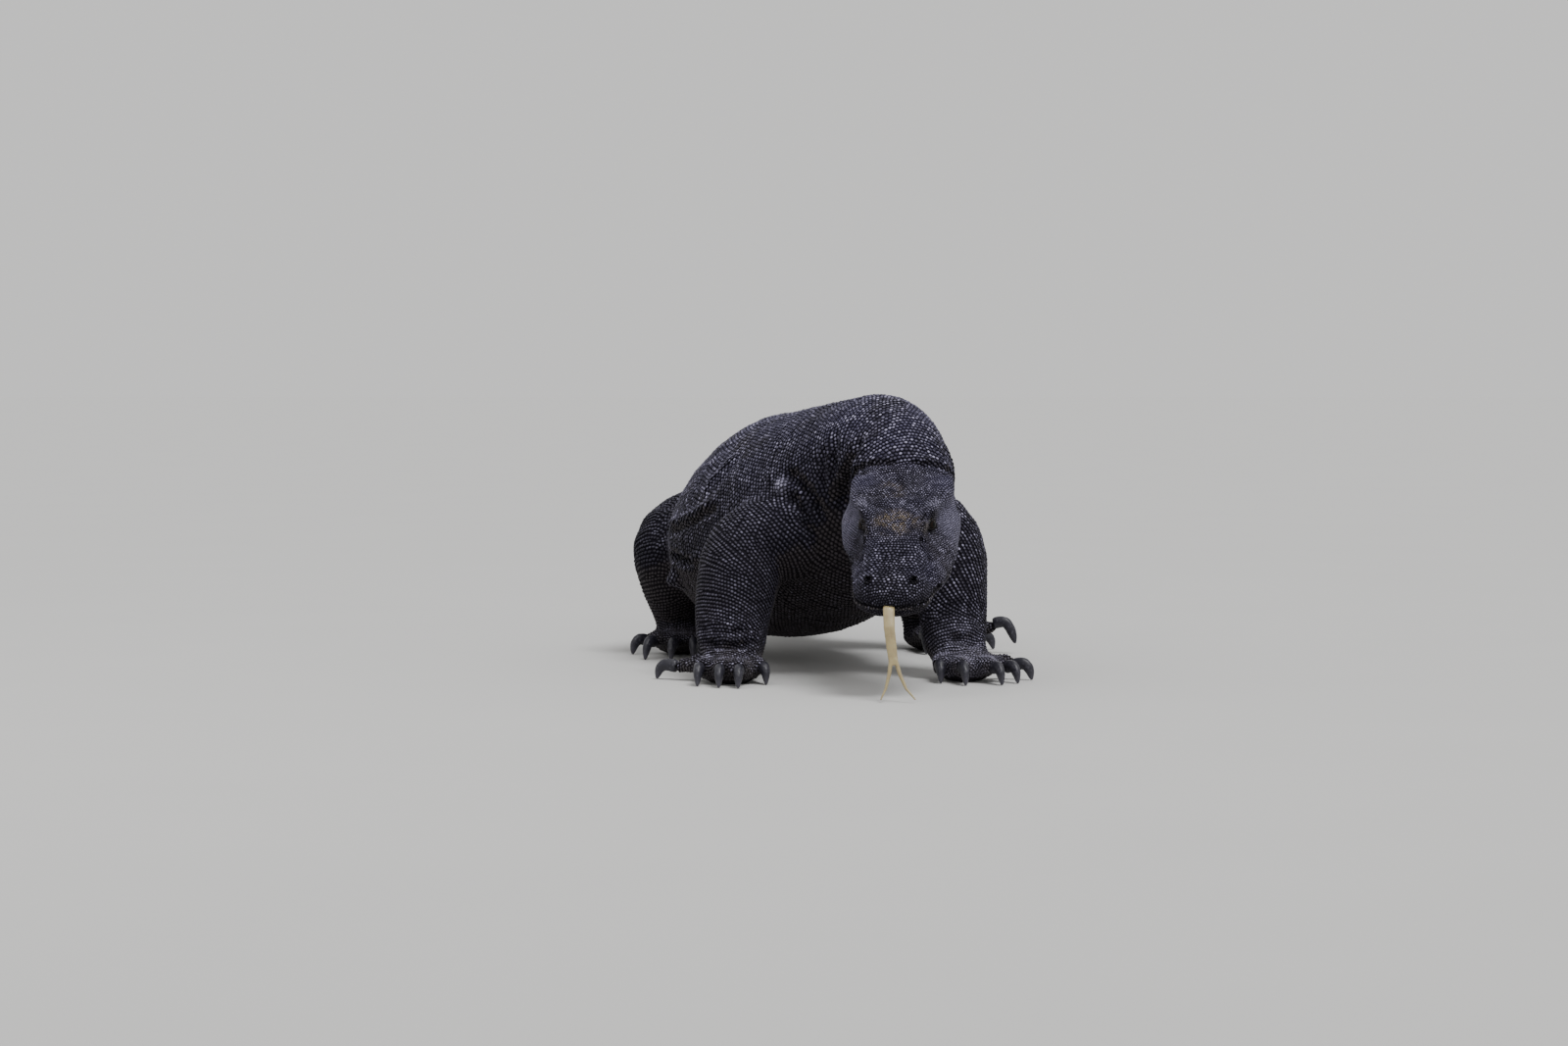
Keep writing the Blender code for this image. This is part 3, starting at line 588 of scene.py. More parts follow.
        # painted shade at the foot of each bead
        colour = graph.mix(self.groove, colour, crest.between(0.10, 0.95))
        return graph.finish(colour, rough=0.42 + tone * 0.18, bump=graph.noise(900.0, 1.0), depth=0.0002)


# Patches of colour: place in the head or in the plan, radius, share
FACE_DUST = (
    ((-0.004, 0.077, 0.012), 0.011, 0.75),
    ((0.004, 0.081, -0.004), 0.011, 0.75),
    ((0.016, 0.083, -0.020), 0.011, 0.70),
    ((-0.004, -0.077, 0.012), 0.011, 0.60),
    ((0.004, -0.081, -0.004), 0.011, 0.60),
    ((0.026, -0.010, 0.045), 0.026, 0.70),
    ((0.100, -0.004, 0.045), 0.034, 1.00),
    ((0.100, 0.020, 0.044), 0.022, 0.60),
)
# Pale patches of the head: the hide's paler cheeks, lid rims and mouth corners, and painted highlights on the
# brows, forehead and snout ridges
FACE_PALE_AND_LIT = (
    ((0.040, 0.080, 0.002), 0.060, 0.50),
    ((0.060, 0.066, 0.024), 0.034, 0.24),
    ((0.106, 0.060, 0.016), 0.022, 0.30),
    ((0.090, 0.077, -0.018), 0.034, 0.30),
    ((0.068, 0.051, 0.048), 0.017, 0.46),
    ((0.016, 0.044, 0.045), 0.050, 0.08),
    ((0.152, 0.038, 0.026), 0.026, 0.14),
    ((0.122, 0.066, -0.016), 0.022, 0.20),
    ((0.152, 0.060, -0.010), 0.020, 0.26),
    ((0.160, 0.058, -0.020), 0.010, 0.40),
)
# Blue-violet patches of the head: partly the hide's own tint, partly painted sky reflection on the snout,
# temples and cheeks
FACE_VIOLET = (
    ((0.165, 0.036, 0.026), 0.056, 0.85),
    ((0.000, 0.058, 0.040), 0.036, 0.80),
    ((0.050, 0.070, 0.010), 0.050, 0.50),
)
# Dark patches of the head: painted shade round the eyes, in the clefts and hollows and on the down-facing tip
# of the snout, partly the snout's own darker hide
FACE_DARK_AND_SHADE = (
    ((0.170, 0.020, 0.030), 0.066, 0.58),
    ((0.020, 0.020, 0.048), 0.044, 0.30),
    ((0.226, 0.010, 0.004), 0.044, 0.80),
    ((0.204, 0.030, 0.024), 0.012, 0.60),
    ((0.088, 0.047, 0.034), 0.012, 0.35),
    ((0.055, 0.060, 0.038), 0.014, 0.55),
    ((0.176, 0.013, 0.032), 0.012, 0.35),
)
# Painted shade in the pockets between the neck and the right fore leg
BODY_PAINTED_SHADE = (
    ((-0.058, 0.066, 0.235), 0.055, 0.80),
    ((-0.036, 0.062, 0.195), 0.055, 0.80),
)
# Pale patches of the body, mostly painted light: highlights on the shoulder knob and the flank's tip and
# ridge, the lit top of the neck and the lit left hand
BODY_PAINTED_LIGHT = (
    ((-0.104, 0.102, 0.263), 0.016, 0.85),
    ((-0.258, 0.362, 0.118), 0.028, 0.46),
    ((-0.262, 0.345, 0.166), 0.014, 0.35),
    ((0.050, 0.010, 0.360), 0.120, 0.06),
    ((0.145, -0.010, 0.040), 0.090, 0.36),
)


@dataclass(frozen=True)
class ClawFinish:
    """Dark horn with fine lengthwise streaks."""

    horn: tuple = (0.016, 0.0155, 0.023)
    worn: tuple = (0.100, 0.095, 0.120)

    def material(self) -> bpy.types.Material:
        """The horn of the claws.

        Returns:
            The material.
        """
        graph = Graph("claw_horn", roughness=0.44, specular=0.35)
        streak = graph.noise(260.0, 3.0)
        low = 1 - graph.height().between(0.002, 0.018)
        worn = (streak.between(0.5, 0.75) * 0.45).most(low * 0.4)
        return graph.finish(graph.mix(self.horn, self.worn, worn), bump=streak, depth=0.0004)


@dataclass(frozen=True)
class EyeFinish:
    """A dark brown iris with a round black pupil, under a wet cornea."""

    iris: tuple = (0.009, 0.0048, 0.0030)
    rim: tuple = (0.004, 0.003, 0.002)
    pupil: tuple = (0.002, 0.002, 0.002)
    pupil_size: float = 0.0034
    iris_size: float = 0.0072

    def material(self, name: str, front: Vector) -> bpy.types.Material:
        """The eye, whose pupil lies round its foremost point.

        Args:
            name: The material's name.
            front: The foremost point.

        Returns:
            The material.
        """
        graph = Graph(name, roughness=0.24, specular=0.10)
        far = graph.distance(front)
        colour = graph.mix(self.pupil, self.iris, far.between(self.pupil_size, self.pupil_size * 1.2))
        colour = graph.mix(colour, self.rim, far.between(self.iris_size * 0.8, self.iris_size))
        return graph.finish(colour)


@dataclass(frozen=True)
class TongueFinish:
    """Moist cream flesh with duller patches."""

    cream: tuple = (0.315, 0.255, 0.130)
    shade: tuple = (0.20, 0.150, 0.080)

    def material(self) -> bpy.types.Material:
        """The flesh of the tongue.

        Returns:
            The material.
        """
        graph = Graph("tongue_flesh", roughness=0.38, coat=0.25)
        graph.shader.inputs["Subsurface Weight"].default_value = 0.15
        graph.shader.inputs["Subsurface Radius"].default_value = (0.004, 0.002, 0.001)
        patches = graph.noise(90.0, 3.0)
        colour = graph.mix(self.cream, self.shade, patches.between(0.45, 0.75) * 0.6)
        return graph.finish(colour, bump=graph.noise(700.0, 2.0), depth=0.0003)


# ---------------------------------------------------------------- skin


@dataclass(frozen=True)
class Fold:
    """A crease along a line on the skin, with the skin swollen beside it."""

    path: tuple
    width: float
    depth: float  # below zero for a ridge
    lift: float = 0.0
    over: tuple | None = None  # the side that swells; both if left out


@dataclass(frozen=True)
class Pit:
    """An oval hollow of the head with a raised rim."""

    at: tuple
    radii: tuple  # along the head, across it and upwards
    depth: float
    rim: float
    sides: tuple = SIDES


@dataclass(frozen=True)
class Swell:
    """A soft swelling of the skin."""

    at: tuple
    radius: float
    height: float
    sides: tuple = SIDES  # of the head; a swelling of the body is where it is


# Places in the head. Folds are on both sides of it
HEAD_FOLDS = (
    # the brow: its ridge, the hollow between the brows, and the cleft between brow and temple
    Fold(((0.044, 0.046, 0.044), (0.058, 0.050, 0.047), (0.076, 0.050, 0.048), (0.094, 0.042, 0.046),
          (0.122, 0.034, 0.038)), 0.0060, -0.0044),
    Fold(((0.034, 0.056, 0.045), (0.036, 0.040, 0.049), (0.038, 0.022, 0.050)), 0.0050, 0.0032),
    Fold(((0.054, 0.022, 0.048), (0.076, 0.025, 0.048), (0.100, 0.022, 0.046), (0.126, 0.018, 0.040)),
         0.0080, 0.0022),
    Fold(((0.026, 0.052, 0.046), (0.045, 0.0575, 0.043), (0.058, 0.060, 0.039), (0.068, 0.061, 0.034)),
         0.0046, 0.0034, 0.0014),
    # the edge of the skull's top, the hollow between the temples, and short furrows on the forehead
    Fold(((-0.026, 0.0, 0.0485), (-0.026, 0.022, 0.044), (-0.031, 0.036, 0.042), (-0.043, 0.056, 0.026),
          (-0.055, 0.070, 0.009), (-0.050, 0.080, -0.020)), 0.0042, 0.0036, 0.0016),
    Fold(((0.000, 0.0, 0.048), (0.026, 0.0, 0.050), (0.050, 0.0, 0.050)), 0.0120, 0.0024),
    Fold(((0.056, 0.014, 0.050), (0.064, 0.024, 0.050), (0.070, 0.036, 0.049)), 0.0034, 0.0010, 0.0006),
    Fold(((0.088, 0.010, 0.050), (0.096, 0.018, 0.049), (0.102, 0.028, 0.046)), 0.0034, 0.0010, 0.0006),
    # one bag below the eye
    Fold(((0.116, 0.048, 0.022), (0.104, 0.054, 0.016), (0.090, 0.058, 0.014)), 0.0020, 0.0012, 0.0008),
    # the loose skin at the corner of the mouth
    Fold(((0.150, 0.058, -0.002), (0.122, 0.066, -0.005), (0.092, 0.074, -0.006)), 0.0026, 0.0032, 0.0022),
    Fold(((0.146, 0.058, -0.009), (0.118, 0.066, -0.012), (0.088, 0.074, -0.015)), 0.0026, 0.0036, 0.0024),
    Fold(((0.136, 0.060, -0.019), (0.112, 0.066, -0.022), (0.084, 0.074, -0.027)), 0.0028, 0.0040, 0.0026),
    Fold(((0.130, 0.060, -0.028), (0.108, 0.064, -0.034), (0.080, 0.072, -0.042)), 0.0028, 0.0030, 0.0024),
    Fold(((0.170, 0.055, -0.012), (0.160, 0.058, -0.013), (0.150, 0.060, -0.015)), 0.0022, 0.0030, 0.0018),
    Fold(((0.070, 0.080, -0.030), (0.046, 0.080, -0.036), (0.020, 0.080, -0.034)), 0.0030, 0.0026, 0.0020),
    # the ridge from brow to nostril, the flute below it, and the bridge of the snout
    Fold(((0.128, 0.033, 0.036), (0.158, 0.031, 0.034), (0.186, 0.029, 0.031)), 0.0065, -0.0026),
    Fold(((0.184, 0.050, 0.010), (0.160, 0.050, 0.012), (0.134, 0.052, 0.014)), 0.0075, 0.0032),
    Fold(((0.150, 0.010, 0.038), (0.172, 0.011, 0.034), (0.198, 0.011, 0.028)), 0.0050, 0.0022),
)
HEAD_PITS = (
    Pit((0.2020, 0.0300, 0.0235), (0.0044, 0.0034, 0.010), 0.0052, 0.0016),
    Pit((0.012, 0.0780, -0.004), (0.0075, 0.015, 0.0115), 0.0060, 0.0016),
    Pit((0.1270, 0.0400, 0.0300), (0.0060, 0.012, 0.0045), 0.0042, 0.0012, sides=(1,)),
    Pit((0.1190, 0.0470, 0.0230), (0.0060, 0.012, 0.0050), 0.0040, 0.0016, sides=(-1,)),
)
HEAD_SWELLS = (
    Swell((0.040, 0.076, 0.002), 0.032, 0.0035),
    Swell((0.085, 0.076, -0.018), 0.026, 0.0030),
    Swell((0.199, 0.033, 0.022), 0.0125, 0.0038),
    Swell((-0.006, 0.058, 0.036), 0.022, 0.0048),
    Swell((0.052, 0.047, 0.045), 0.0110, 0.0044),
    Swell((0.122, 0.062, -0.026), 0.022, 0.0040),
    Swell((0.138, 0.060, -0.024), 0.016, 0.0050, sides=(1,)),
    Swell((0.152, 0.057, -0.006), 0.025, 0.0085, sides=(1,)),
    Swell((0.160, 0.058, -0.019), 0.009, 0.0030, sides=(1,)),
    Swell((0.052, 0.078, -0.006), 0.034, -0.0040, sides=(1,)),
    Swell((0.044, 0.070, 0.018), 0.024, 0.0030, sides=(-1,)),
    Swell((0.084, 0.051, 0.040), 0.012, 0.0024, sides=(-1,)),
    Swell((0.112, 0.070, -0.018), 0.040, -0.0125, sides=(-1,)),
)
# Places in the plan
BODY_FOLDS = (
    # the curtain of loose skin on the right flank: its lower edge and the furrow under it
    Fold(((-0.190, 0.212, 0.242), (-0.211, 0.240, 0.231), (-0.226, 0.262, 0.221), (-0.240, 0.289, 0.212),
          (-0.255, 0.330, 0.204), (-0.264, 0.376, 0.199)), 0.0060, -0.0054),
    Fold(((-0.187, 0.202, 0.233), (-0.208, 0.231, 0.222), (-0.222, 0.253, 0.211), (-0.237, 0.275, 0.202),
          (-0.252, 0.312, 0.192), (-0.262, 0.360, 0.187)), 0.0055, 0.0062),
    # a second edge above it, and its furrow
    Fold(((-0.166, 0.240, 0.304), (-0.176, 0.250, 0.290), (-0.190, 0.258, 0.270), (-0.203, 0.262, 0.252),
          (-0.214, 0.252, 0.236)), 0.0046, -0.0040),
    Fold(((-0.160, 0.226, 0.300), (-0.172, 0.232, 0.283), (-0.184, 0.236, 0.264), (-0.196, 0.236, 0.248)),
         0.0060, 0.0034),
    # the wrists
    Fold(((0.122, 0.042, 0.060), (0.134, 0.036, 0.056), (0.147, 0.035, 0.0545), (0.160, 0.042, 0.058),
          (0.172, 0.056, 0.066)), 0.0066, 0.0056, 0.0044),
    Fold(((0.124, 0.030, 0.042), (0.1335, 0.027, 0.040), (0.150, 0.030, 0.043), (0.165, 0.044, 0.050),
          (0.176, 0.058, 0.056)), 0.0060, 0.0046, 0.0034),
    Fold(((-0.212, 0.020, 0.062), (-0.198, 0.003, 0.054), (-0.173, -0.005, 0.050), (-0.150, 0.001, 0.055),
          (-0.138, 0.018, 0.064)), 0.0060, 0.0048, 0.0036),
    Fold(((-0.212, 0.026, 0.076), (-0.198, 0.010, 0.068), (-0.173, 0.004, 0.064), (-0.150, 0.008, 0.069),
          (-0.138, 0.024, 0.078)), 0.0060, 0.0040, 0.0030),
    # below the bulge of the belly, and down to the tip of skin
    Fold(((-0.262, 0.360, 0.156), (-0.251, 0.310, 0.151), (-0.240, 0.285, 0.148), (-0.228, 0.262, 0.150)),
         0.0060, 0.0135, 0.0020),
    Fold(((-0.217, 0.239, 0.166), (-0.231, 0.266, 0.151), (-0.244, 0.306, 0.133)), 0.0060, -0.0036),
    # the side of the neck, behind the head
    Fold(((0.008, -0.004, 0.343), (-0.001, -0.009, 0.321), (-0.010, 0.004, 0.294), (-0.017, 0.040, 0.262),
          (-0.022, 0.048, 0.233)), 0.0080, 0.0080, 0.0032),
    Fold(((-0.027, 0.034, 0.340), (-0.031, 0.034, 0.300), (-0.030, 0.045, 0.262)), 0.0060, 0.0032, 0.0020),
    Fold(((-0.045, 0.045, 0.325), (-0.048, 0.047, 0.292), (-0.046, 0.052, 0.258)), 0.0060, 0.0026, 0.0016),
    Fold(((0.128, 0.010, 0.330), (0.136, 0.012, 0.300), (0.136, 0.020, 0.262)), 0.0080, 0.0060, 0.0026),
    # where the right fore leg leaves the chest
    Fold(((-0.101, 0.104, 0.284), (-0.086, 0.088, 0.276), (-0.072, 0.073, 0.262), (-0.058, 0.062, 0.242),
          (-0.044, 0.055, 0.214)), 0.0075, 0.0080, 0.0022),
    Fold(((-0.092, 0.092, 0.252), (-0.078, 0.078, 0.238), (-0.070, 0.069, 0.216), (-0.062, 0.072, 0.186)),
         0.0070, 0.0060, 0.0018),
    # where the left fore leg leaves the chest
    Fold(((0.150, 0.190, 0.260), (0.125, 0.130, 0.255), (0.098, 0.095, 0.225), (0.085, 0.085, 0.180)),
         0.0100, 0.0070, 0.0030),
    Fold(((0.125, 0.060, 0.270), (0.112, 0.050, 0.235), (0.100, 0.055, 0.205)), 0.0070, 0.0040, 0.0025),
    # the left flank
    Fold(((0.120, 0.260, 0.300), (0.115, 0.320, 0.245), (0.105, 0.390, 0.185)), 0.0100, 0.0060, 0.0040,
         over=(0.5, 0.2, 0.8)),
    Fold(((0.100, 0.330, 0.170), (0.090, 0.420, 0.140), (0.080, 0.500, 0.135)), 0.0090, 0.0055, 0.0040,
         over=(0.2, 0, 1)),
)
BODY_SWELLS = (
    Swell((-0.104, 0.102, 0.263), 0.014, 0.0075),
    Swell((-0.258, 0.345, 0.180), 0.036, 0.0035),
    Swell((-0.2545, 0.350, 0.121), 0.0160, 0.0190),
    Swell((-0.2470, 0.296, 0.178), 0.024, 0.0030),
)


@dataclass(frozen=True)
class Wrinkles:
    """Shallow rings of slack skin across some kinds of node."""

    kinds: tuple
    spacing: float
    depth: float


WRINKLES = (
    Wrinkles(("neck",), 0.024, 0.0018),
    Wrinkles(("chest", "belly", "hips"), 0.034, 0.0016),
    Wrinkles(("upper_arm", "thigh"), 0.022, 0.0018),
    Wrinkles(("forearm", "shank"), 0.015, 0.0022),
    Wrinkles(("hand", "foot"), 0.011, 0.0020),
)
SLIT, SLIT_WIDTH = -0.0004, 0.0011  # of the mouth: place above its line, and half width
# The relief across the mouth, from the slit to the lips: place above its line, width, height
LIPS = (
    (SLIT, SLIT_WIDTH, -0.0024),
    (0.0034, 0.0026, 0.0012),
    (-0.0042, 0.0020, 0.0007),
)
# Where the mesh of the head is made finer, round by round: places in the head and their radii
FINE_HEAD = tuple(((ahead, 0, -0.005), 0.100) for ahead in (0.02, 0.09, 0.16))
FINE_NOSTRILS = tuple(((0.204, 0.030 * side, 0.024), 0.016) for side in SIDES)
FINE_EYE = 0.024  # round each eye
FINE_LIPS = 0.006  # above and below the line of the mouth
# How much painted shade darkens the hide of each node, for the parts that lie in shade, partly the legs' own
# darker hide; a node's own name goes before its kind
SHADE = {
    "head": 0.05, "lower_jaw": 0.35, "neck": 0.0, "chest": 0.28, "belly": 0.12, "hips": 0.38, "tail": 0.60,
    "left_upper_arm": 0.05, "left_forearm": 0.10, "upper_arm": 0.60, "forearm": 0.70, "hand": 0.20,
    "thigh": 0.85, "shank": 0.95, "foot": 0.60,
}


@dataclass
class Axis:
    """The middle line of a part of the body, from the head end or the body end outwards."""

    path: np.ndarray

    @property
    def length(self) -> float:
        """The length of the line."""
        return float(np.linalg.norm(np.diff(self.path, axis=0), axis=1).sum())

    def read(self, points: np.ndarray) -> tuple[np.ndarray, np.ndarray, np.ndarray]:
        """Where points lie about the line.

        Args:
            points: The points, N x 3.

        Returns:
            The lengths run along the line, the angles about it, and its directions there.
        """
        _, run, near = nearest_on_path(points, self.path)
        marks = np.concatenate([[0], np.cumsum(np.linalg.norm(np.diff(self.path, axis=0), axis=1))])
        way = unit(np.stack([np.interp(run, marks, ways) for ways in tangents(self.path).T], axis=1))
        up = np.array([0.0, 0.0, 1.0]) - way * way[:, 2:3]
        side = unit(np.cross(way, unit(up + 1e-6)))
        up = np.cross(side, way)
        out = points - near
        angle = np.arctan2((out * side).sum(1), (out * up).sum(1))
        return run, angle, way


CLAW_END = 0.008  # how much of a claw is taken as its rooted end


class Body:
    """The middle lines of the body, and which of them each node of flesh follows."""

    def __init__(self) -> None:
        """Draws the lines through the middles of the nodes."""
        tails = tail_nodes()
        corners = corners_of(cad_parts[tails[-1]].data)
        tip = corners[distances(corners, box_middle(tails[-2])).argmax()]
        nape = PLACES.head((-0.03, 0, 0))
        knots = [nape, *(self.middle(name) for name in (*TRUNK_NODES, *tails)), Vector(tip)]
        self.lines = {
            "spine": Axis(smooth_path(knots, 0.03)),
            "head": Axis(smooth_path([PLACES.head((x, 0, 0)) for x in (0.25, 0.12, -0.05)], 0.03)),
        }
        self.line_of = {name: "spine" for name in (*TRUNK_NODES, *tails)}
        self.line_of.update(head="head", lower_jaw="head")
        for leg in Leg:
            upper, lower, pad = leg.nodes
            top, knee, sole = (self.middle(name) for name in leg.nodes)
            name = leg.name.lower()
            knots = [top * 2 - knee, top, knee, sole, sole + Vector((0, -0.05, -0.03))]
            self.lines[name] = Axis(smooth_path(knots, 0.02))
            for number, claw in enumerate(leg.claws):
                root = self.claw_root(claw, pad)
                digit = np.array([tuple(sole.lerp(root, share)) for share in (0.35, 1.0, 1.4)])
                self.lines[f"{name}_digit_{number}"] = Axis(digit)
            self.line_of.update({upper: name, lower: name, pad: name})

    @staticmethod
    def middle(name: str) -> Vector:
        """The middle of a node's surface.

        Args:
            name: The node's name.

        Returns:
            The place.
        """
        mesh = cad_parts[name].data
        areas = np.array([face.area for face in mesh.polygons])
        centres = np.array([tuple(face.center) for face in mesh.polygons])
        return Vector((centres * areas[:, None]).sum(0) / areas.sum())

    @staticmethod
    def claw_root(claw: str, pad: str) -> Vector:
        """The middle of the end of a claw that sits in its digit.

        Args:
            claw: The claw's node.
            pad: The node of the hand or foot.

        Returns:
            The place.
        """
        corners = corners_of(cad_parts[claw].data)
        far = distances(corners, Body.middle(pad))
        return Vector(corners[far < far.min() + CLAW_END].mean(axis=0))


class SkinMesh:
    """A mesh as arrays, with the ways to smooth and shape it."""

    def __init__(self, mesh: bpy.types.Mesh) -> None:
        """Reads the mesh.

        Args:
            mesh: The mesh.
        """
        self.mesh = mesh
        self.points = np.empty(len(mesh.vertices) * 3)
        mesh.vertices.foreach_get("co", self.points)
        self.points = self.points.reshape(-1, 3)
        edges = np.empty(len(mesh.edges) * 2, int)
        mesh.edges.foreach_get("vertices", edges)
        self.first, self.second = edges.reshape(-1, 2).T
        size = len(self.points)
        self.count = np.bincount(self.first, minlength=size) + np.bincount(self.second, minlength=size)

    def spread(self, values: np.ndarray) -> np.ndarray:
        """The mean of each point's neighbours.

        Args:
            values: A row of numbers for each point.

        Returns:
            The means, a row for each point.
        """
        total = np.zeros_like(values)
        size = len(values)
        for k in range(values.shape[1]):
            total[:, k] = np.bincount(self.first, values[self.second, k], size)
            total[:, k] += np.bincount(self.second, values[self.first, k], size)
        return total / np.maximum(self.count, 1)[:, None]

    def relax(self, passes: int, weight: np.ndarray | float = 1.0) -> None:
        """Smooths the mesh, and gives back at each pass what that takes off.

        Args:
            passes: How often.
            weight: A share for each point.
        """
        share = weight[:, None] if isinstance(weight, np.ndarray) else weight
        for _ in range(passes):
            for amount in (0.5, -0.52):
                self.points += (self.spread(self.points) - self.points) * amount * share

    def write(self) -> None:
        """Puts the points back in the mesh."""
        self.mesh.vertices.foreach_set("co", self.points.ravel())
        self.mesh.update()

    def normals(self) -> np.ndarray:
        """The outward direction at each point.

        Returns:
            The directions, N x 3.
        """
        self.write()
        out = np.empty(len(self.points) * 3)
        self.mesh.vertex_normals.foreach_get("vector", out)
        return out.reshape(-1, 3)

    def tree(self) -> BVHTree:
        """A search tree of the faces."""
        faces = [tuple(face.vertices) for face in self.mesh.polygons]
        return BVHTree.FromPolygons([tuple(p) for p in self.points], faces)


@dataclass
class Skin:
    """The one skin of the animal, from the nodes of flesh to the last fold."""

    voxel: float = 0.0056
    grow: float = 0.0008  # closes the cuts between the nodes
    passes: int = 26
    coat: float = 0.0016  # how far the skin lies inside the flesh
    lid: float = 0.0009
    eye_radius: float = 0.0105
    opening: tuple = (0.0064, 0.0045)  # half length and half height of the eye's opening
    lid_fold: float = 0.0010  # depth of the fold round the lids
    lid_clearance: float = -0.0004  # between the scales' tops and the eyeball
    behind_opening: float = 0.0030  # how far the skin lies inside the eyeball, where it isn't seen
    lid_fade: tuple = (0.0150, 0.0215)  # distances from the eye at which the lids begin and end to fade
    lid_reach: float = 0.026
    # a hollow this deep gets the crease mark's full painted shade
    head_hollow: float = 0.0010  # depth at which a hollow of the head is dark, and one of the body
    body_hollow: float = 0.0022
    obj: bpy.types.Object = field(init=False)
    data: SkinMesh = field(init=False)
    node: np.ndarray = field(init=False)
    names: list = field(init=False)

    def build(self, body: Body) -> None:
        """Makes the skin from the flesh and shapes it.

        Args:
            body: The middle lines of the body.
        """
        self.join_flesh()
        self.refine()
        self.assign()
        self.shape_head()
        self.part_lips()
        self.shape_body()
        self.ripple(body)
        self.set_in()
        self.data.write()
        self.mark()
        self.obj.data.shade_smooth()
        self.obj.data.materials.append(HideFinish().skin())
        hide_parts(*flesh_nodes())
        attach(self.obj, "root")
        triangles = sum(len(face.vertices) - 2 for face in self.obj.data.polygons)
        LOG.info("skin: %d points, %d triangles", len(self.data.points), triangles)

    def join_flesh(self) -> None:
        """Joins copies of the flesh nodes into one closed surface and smooths its facets."""
        made = bmesh.new()
        for name in flesh_nodes():
            merged_copy(made, name)
        for vert in made.verts:
            vert.co += vert.normal * self.grow
        for name in EYES:
            place = Matrix.Translation(box_middle(name))
            bmesh.ops.create_icosphere(made, subdivisions=3, radius=self.eye_radius + self.grow, matrix=place)
        self.obj = add_object("skin", mesh_from(made, "skin"))
        fuse(self.obj, self.voxel)
        self.drop_crumbs()
        data = SkinMesh(self.obj.data)
        near = 1 - step_between(distances(data.points, PLACES.head((0.11, 0, 0))), 0.10, 0.16)
        low = 1 - step_between(data.points[:, 2], 0.0, 0.03)
        data.relax(self.passes, 1 - 0.6 * np.maximum(near, low))
        data.write()

    def drop_crumbs(self) -> None:
        """Deletes everything but the largest closed surface."""
        made = bmesh.new()
        made.from_mesh(self.obj.data)
        left = set(made.verts)
        largest = set()
        while left:
            seed = left.pop()
            group, queue = {seed}, [seed]
            while queue:
                for edge in queue.pop().link_edges:
                    for vert in edge.verts:
                        if vert in left:
                            left.discard(vert)
                            group.add(vert)
                            queue.append(vert)
            if len(group) > len(largest):
                largest = group
        bmesh.ops.delete(made, geom=[v for v in made.verts if v not in largest], context="VERTS")
        made.to_mesh(self.obj.data)
        made.free()

    def refine(self) -> None:
        """Gives the head, and again the eyes, the nostrils and the lips, a finer mesh."""
        head = [(PLACES.head(at), radius) for at, radius in FINE_HEAD]
        details = [(box_middle(name), FINE_EYE) for name in EYES]
        details += [(PLACES.head(at), radius) for at, radius in FINE_NOSTRILS]
        for balls, lip in ((head, 0.0), (details, FINE_LIPS)):
            made = bmesh.new()
            made.from_mesh(self.obj.data)
            close = set(np.flatnonzero(np.abs(PLACES.above_mouth(corners_of(self.obj.data))) < lip))
            edges = []
            for edge in made.edges:
                start, stop = edge.verts
                middle = (start.co + stop.co) / 2
                at_ball = any((middle - at).length < radius for at, radius in balls)
                if at_ball or (start.index in close and stop.index in close):
                    edges.append(edge)
            bmesh.ops.subdivide_edges(made, edges=edges, cuts=1, use_grid_fill=True)
            bmesh.ops.triangulate(made, faces=[face for face in made.faces if len(face.verts) > 4])
            made.to_mesh(self.obj.data)
            made.free()
            data = SkinMesh(self.obj.data)
            near = np.zeros(len(data.points))
            for at, radius in balls:
                far = distances(data.points, at)
                near = np.maximum(near, 1 - step_between(far, radius * 0.9, radius * 1.2))
            data.relax(6, near)
            data.write()
        self.data = SkinMesh(self.obj.data)

    def assign(self) -> None:
        """Notes which node of flesh each point belongs to."""
        self.names = flesh_nodes()
        corners, faces, owner = [], [], []
        for index, name in enumerate(self.names):
            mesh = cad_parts[name].data
            faces += [tuple(len(corners) + v for v in face.vertices) for face in mesh.polygons]
            owner += [index] * len(mesh.polygons)
            corners += [tuple(v.co) for v in mesh.vertices]
        tree = BVHTree.FromPolygons(corners, faces)
        self.node = np.array([owner[tree.find_nearest(tuple(p))[2]] for p in self.data.points])

    def of_nodes(self, *names: str) -> np.ndarray:
        """Which points belong to some nodes."""
        return np.isin(self.node, [self.names.index(name) for name in names])

    def press(self, fold: Fold, points: list, tree: BVHTree, normals: np.ndarray) -> None:
        """Presses one fold into the skin along a line of points.

        Args:
            fold: The fold.
            points: Its line.
            tree: The search tree of the skin.
            normals: The outward direction at each point of the skin.
        """
        line = smooth_path(points, 0.005)
        line = np.array([tuple(tree.find_nearest(tuple(p))[0]) for p in line])
        reach = fold.width * 4
        data = self.data
        low, high = line.min(axis=0) - reach, line.max(axis=0) + reach
        inside = np.flatnonzero(((data.points > low) & (data.points < high)).all(axis=1))
        far, run, near = nearest_on_path(data.points[inside], line)
        total = max(float(np.linalg.norm(np.diff(line, axis=0), axis=1).sum()), 1e-6)
        fade = step_between(run / total, 0.0, 0.18) * (1 - step_between(run / total, 0.82, 1.0))
        move = -fold.depth * bell(far, fold.width)
        swell = fold.lift * bell(far - fold.width * 1.9, fold.width * 1.1)
        if fold.over is not None:
            above = (data.points[inside] - near) @ np.array(fold.over)
            swell *= step_between(above / fold.width, -0.3, 0.8)
        data.points[inside] += normals[inside] * ((move + swell) * fade)[:, None]

